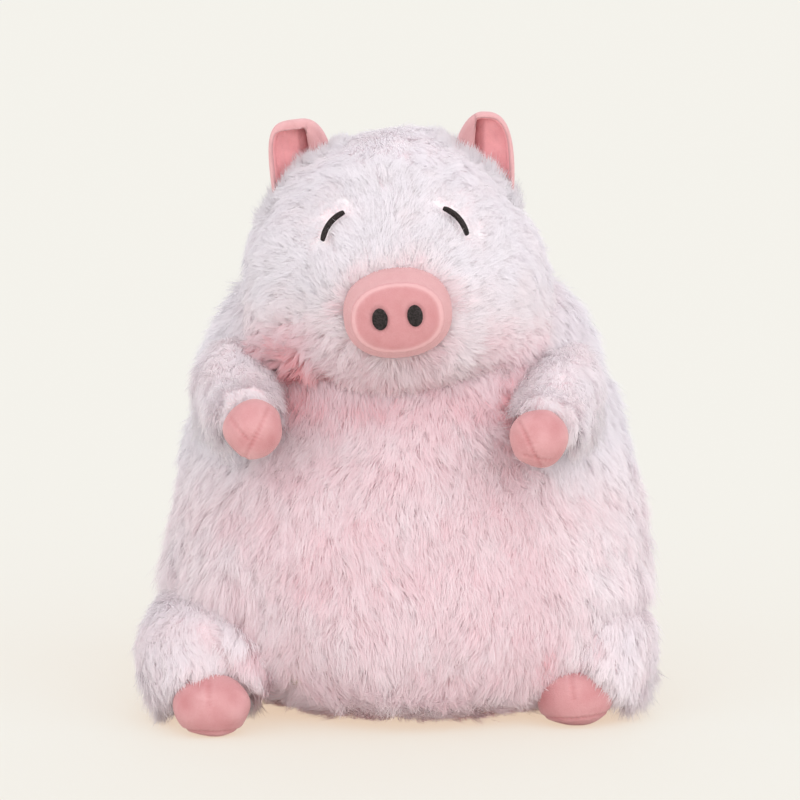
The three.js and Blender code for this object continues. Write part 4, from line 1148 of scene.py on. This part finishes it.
class PLUSH_OT_ears(bpy.types.Operator):
    """Makes the two folded ears, each of a back panel and a lining sewn together at the rim"""
    bl_idname, bl_label = "plush.ears", "Ears"

    def execute(self, context):
        for name, hand in SIDES:
            for part, near, far, look in EAR_LEAVES:
                points, nap = self.panel(name, hand, near, far)
                put(f"ear_{name}_{part}_velour", points, outward(points, ball_faces(*EAR_GRID)), look(),
                    f"ear_{name}", replaces=(f"ear_{name}_{part}",), nap=nap)
        return {"FINISHED"}

    def outline(self, top, angle):
        """The ear from the front: |x / half|^n + (z / length)^n = 1 with its own n on each side, closed by a flat
        curve under the fur, and walked at an even pace by the angle."""
        a = np.linspace(0, 2 * np.pi, 1441)
        c, s = np.cos(a), np.sin(a)
        n = np.where(c > 0, top["outer"], top["folded"])
        x = EAR["half"] * np.sign(c) * np.abs(c) ** (2 / n)
        z = np.where(s > 0, EAR["length"] * np.abs(s) ** (2 / n), 3 * s)
        run = np.concatenate(((0,), np.cumsum(np.hypot(np.diff(x), np.diff(z)))))
        at = angle / (2 * np.pi) * run[-1]
        return np.interp(at, run, x), np.interp(at, run, z)

    def panel(self, name, hand, near, far):
        """A closed leaf between two depths of the ear. From the ear's heart it runs out flat to the outline, rolls
        forwards and back in on a half circle, and goes on straight as the folded-over flap: out = flat + r sin(a),
        forwards = r (1 - cos(a)). How far it goes on is the largest of the flap's, the top band's and the lip's."""
        top, heart, r = EAR_TOPS[name], np.array(EAR["heart"], float), EAR["roll"]
        base = (hand * EAR["apart"] / 2, -EAR["forward"], CROWN - EAR["under_crown"] - EAR["buried"])
        lean = turn_about((0, 1, 0), hand * EAR["outward"])
        rim_at = EAR["length"] - top["band"]

        def surface(t, angle):
            edge_x, edge_z = self.outline(top, angle)
            edge = np.stack((edge_x, edge_z), -1)
            dist = np.linalg.norm(edge - heart, axis=-1)
            way = (edge - heart) / dist[..., None]
            flap = np.clip((EAR["flap_edge"] - edge_x) / (heart[0] - edge_x + 1e-6), 0, 1)
            flap = np.where(edge_x < EAR["flap_edge"], flap, 0) * dist
            band = np.where(edge_z > rim_at, (edge_z - rim_at) / np.maximum(edge_z - heart[1], 1), 0) * dist
            over = (flap ** 4 + band ** 4 + EAR["lip"] ** 4) ** 0.25
            last = np.where(over < r, np.pi - np.arcsin(np.clip(1 - over / r, 0, 1)), np.pi)
            straight = np.maximum(0, over - r)
            m = np.where(t < 0.5, 2 * t, 2 - 2 * t)
            rolled = np.clip((m - EAR_FLAT) / EAR_ROLLED, 0, 1) * (r * last + straight)
            a = np.minimum(rolled / r, last)
            extra = np.maximum(0, rolled - r * last)
            puff = 2.2 * np.sin(np.pi * np.clip(extra / np.maximum(straight, 1), 0, 1))
            out = (dist - r) * np.minimum(m / EAR_FLAT, 1) + r * np.sin(a) - extra
            ahead = r * (1 - np.cos(a)) + puff * (straight > 1)
            middle, thick = (near + far) / 2, (far - near) / 2
            d = middle + thick * np.where(t < 0.5, -1, 1) * np.sqrt(np.clip((1 - m) / EAR_RIM, 0.0, 1))
            out, ahead = out - np.sin(a) * d, ahead + np.cos(a) * d
            x, z = np.moveaxis(heart + way * out[..., None], -1, 0)
            ahead = ahead + EAR["cup"] * np.clip((x - 2) / 16, 0, 1) ** 2
            ahead = ahead + EAR["nod"] * smooth(z / EAR["length"], 0.55, 1)
            flat = np.stack((x, -ahead, z), -1)
            flat[..., 1] += 0.45 * waves(flat, 17, 81) + 0.2 * waves(flat * (2.5, 1, 0.6), 12, 82)
            self.turn, self.at = a, x
            return tilted(flat * (hand, 1, 1) @ lean.T + base)

        points, _ = grid(surface, *EAR_GRID)
        # Painted shade in the lining's hollow beside the flap's edge, and a painted highlight on the rolled rim
        hollow_shade = bell(self.at - EAR["flap_edge"], -1, 5) * (self.turn < 0.5) * (near > 1)
        rim = smooth(self.turn, 1.0, 1.5) * (1 - smooth(self.turn, 2.2, 3.0))
        return points, 0.8 + 0.18 * rim - 0.8 * hollow_shade - 0.1 * (near < 1)


class PLUSH_OT_tail(bpy.types.Operator):
    """Makes the curled velour tail"""
    bl_idname, bl_label = "plush.tail", "Tail"

    def execute(self, context):
        up = (TAIL["height"] + TORSO["floor_cut"]) / (TORSO["height"] + TORSO["floor_cut"])
        root = TORSO["lean"] * TAIL["height"] / TORSO["height"] + float(BODY_FORM.section(np.array(up))[2])

        def centre(t):
            a = 2 * np.pi * TAIL["turns"] * t
            return np.stack((TAIL["radius"] * np.sin(a), root - TAIL["inset"] + TAIL["length"] * t,
                             TAIL["height"] + TAIL["radius"] * (1 - np.cos(a))), -1)

        def surface(t, angle):
            """A round section carried along a coil of one and a quarter turns, closed and rounded at both ends."""
            along = unit(centre(t + 0.01) - centre(t - 0.01))
            side = unit(np.cross(along, (0.2, 1.0, 0.3)))
            rear = np.cross(along, side)
            r = (TAIL["half"] * share_along(TAIL["shares"], t) * end_share(t, 0.231, 0.231))[..., None]
            return centre(t) + (side * np.cos(angle)[..., None] + rear * np.sin(angle)[..., None]) * r

        points = ball_points(surface, 120, 36)
        put("tail_velour", points, ball_faces(120, 36), pink_velour(), "tail",
            replaces=("tail",), nap=0.55 + 0.1 * waves(points, 9, 77))
        return {"FINISHED"}


# The filling starts this far inside a form: the depth of the pile, its backing and a little air
WALL = 9.6


class PLUSH_OT_filling(bpy.types.Operator):
    """Puts the loose filling and the weighted pouch inside"""
    bl_idname, bl_label = "plush.filling", "Filling"

    def execute(self, context):
        fibre = material("loose_polyester_fibre", loose_filling, linear(0xF5F4F0), 160.0), "fibre_filling"
        cotton = material("plain_cotton_pouch", loose_filling, linear(0xDED3BD), 700.0), "pouch_cotton"

        def blob(name, form, node, body, stuff=fibre, bottom=0.0, fit=lambda p: p, puff=1.0):
            points = ball_points(form.surface, 40, 48)
            points -= unit(points - points.mean(axis=0)) * (puff * (1 + waves(points, 26, 71)))[:, None]
            points[:, 2] = np.maximum(points[:, 2], bottom)
            put(name, fit(points), ball_faces(40, 48), stuff[0], body, replaces=(node,))

        blob("body_fibre", BODY_FORM.drawn_in(WALL), "torso_filling", "torso", bottom=73)
        pouch = Plump(((0, 0, 10), (0, 0, 71)), 106, 78, 70, (0.96, 1, 0.94), 0.333, 0.333, True)
        blob("seat_pouch", pouch, "weight_pouch", "torso", cotton, puff=0.4)
        blob("head_fibre", HEAD_FORM.drawn_in(WALL), "head_filling", "head",
             fit=lambda p: lifted_off(tilted(p), BODY_FORM, WALL + 1))
        snout = Plump((SNOUT_FACE, SNOUT_TIP + (0, 3.5, 0)), 22, 16, 16, (1, 1), 0.4, 0.4)
        blob("snout_fibre", snout, "snout_filling", "head", fit=tilted, puff=0.3)
        for kind, size, places in (("arm", ARM, HANDS), ("leg", LEG, FEET)):
            for name, hand in SIDES:
                limb, form = f"{kind}_{name}", limb_form(size, hand, places[name]).from_share(0.4).drawn_in(WALL)
                blob(f"{limb}_fibre", form, f"{limb}_filling", limb, bottom=5,
                     fit=lambda p: pushed_out(p, BODY_FORM, 1.0), puff=0.6)
        return {"FINISHED"}


# Each lamp's share of the key light, its spread, and the azimuth and elevation that it comes from, in degrees
LAMPS = (("key", 1.0, 70, 40, 32), ("fill", 0.95, 80, -44, 12), ("back", 0.6, 80, 170, 18))
FLOOR_HALF = 20
# Millimetres to the pig, degrees up, the height that it aims at, millimetres a pixel of 800 there, and the sensor
CAMERA = dict(distance=1900.0, elevation=9, aim=170.0, pixel=0.55, half_picture=400, sensor=36)


class PLUSH_OT_stage(bpy.types.Operator):
    """Lays the floor, hangs the lights and sets the camera"""
    bl_idname, bl_label = "plush.stage", "Floor, light and camera"

    def execute(self, context):
        scene, stage = context.scene, context.scene.plush_stage
        scene.view_settings.view_transform = "Standard"
        self.floor(scene, stage)
        world = bpy.data.worlds.new("soft_room")
        scene.world = world
        world.use_nodes = True
        world.node_tree.nodes.clear()
        light = add(world.node_tree, "Background", {"Color": (1, 1, 1, 1), "Strength": stage.room})
        add(world.node_tree, "OutputWorld", {"Surface": light})
        for name, share, spread, azimuth, elevation in LAMPS:
            lamp = bpy.data.lights.new(name, "SUN")
            lamp.energy, lamp.angle = stage.sun * share, math.radians(spread)
            held = bpy.data.objects.new(name, lamp)
            scene.collection.objects.link(held)
            a, e = math.radians(azimuth), math.radians(elevation)
            towards = np.array((math.sin(a) * math.cos(e), -math.cos(a) * math.cos(e), math.sin(e)))
            held.rotation_euler = look_along(-towards)
        self.camera(scene)
        return {"FINISHED"}

    def floor(self, scene, stage):
        mesh = bpy.data.meshes.new("studio_floor")
        corners = [(x * FLOOR_HALF, y * FLOOR_HALF, 0) for x, y in ((-1, -1), (1, -1), (1, 1), (-1, 1))]
        mesh.from_pydata(corners, [], [(0, 1, 2, 3)])
        floor = bpy.data.objects.new("studio_floor", mesh)
        scene.collection.objects.link(floor)
        mesh.materials.append(material("painted_studio_floor", lit_floor, stage))

    def camera(self, scene):
        """A long lens from the front and a little above, level with the pig's middle."""
        distance, elevation = CAMERA["distance"], math.radians(CAMERA["elevation"])
        back = np.array((0, -math.cos(elevation), math.sin(elevation)))
        data = bpy.data.cameras.new("camera")
        data.sensor_width = CAMERA["sensor"]
        data.lens = CAMERA["sensor"] / 2 / (CAMERA["half_picture"] * CAMERA["pixel"] / distance)
        data.clip_start, data.clip_end = 0.05, 100
        camera = bpy.data.objects.new("camera", data)
        scene.collection.objects.link(camera)
        camera.location = (MIDDLE + (0, 0, CAMERA["aim"]) + back * distance) * MM
        camera.rotation_euler = look_along(-back)
        scene.camera = camera


def look_along(way):
    """The turn that points a lamp or a camera along a direction, with its top up."""
    return Vector(way).to_track_quat("-Z", "Y").to_euler()


class PLUSH_PT_panel(bpy.types.Panel):
    """The steps in the sidebar"""
    bl_label, bl_idname = "Plush pig", "PLUSH_PT_panel"
    bl_space_type, bl_region_type, bl_category = "VIEW_3D", "UI", "Plush pig"

    def draw(self, context):
        for group in (context.scene.plush_sizes, context.scene.plush_colours, context.scene.plush_stage):
            for key in group.__annotations__:
                self.layout.prop(group, key)
        for step in STEPS:
            self.layout.operator(step.bl_idname)


STEPS = (PLUSH_OT_body, PLUSH_OT_head, PLUSH_OT_limbs, PLUSH_OT_snout, PLUSH_OT_eyes, PLUSH_OT_ears, PLUSH_OT_tail,
         PLUSH_OT_filling, PLUSH_OT_stage)
CLASSES = (PlushSizes, PlushColours, PlushStage, *STEPS, PLUSH_PT_panel)


def register():
    for cls in CLASSES:
        bpy.utils.register_class(cls)
    bpy.types.Scene.plush_sizes = PointerProperty(type=PlushSizes)
    bpy.types.Scene.plush_colours = PointerProperty(type=PlushColours)
    bpy.types.Scene.plush_stage = PointerProperty(type=PlushStage)


def unregister():
    del bpy.types.Scene.plush_sizes, bpy.types.Scene.plush_colours, bpy.types.Scene.plush_stage
    for cls in reversed(CLASSES):
        bpy.utils.unregister_class(cls)


def main():
    register()
    for step in (bpy.ops.plush.body, bpy.ops.plush.head, bpy.ops.plush.limbs, bpy.ops.plush.snout, bpy.ops.plush.eyes,
                 bpy.ops.plush.ears, bpy.ops.plush.tail, bpy.ops.plush.filling, bpy.ops.plush.stage):
        step()


if __name__ == "__main__":
    main()
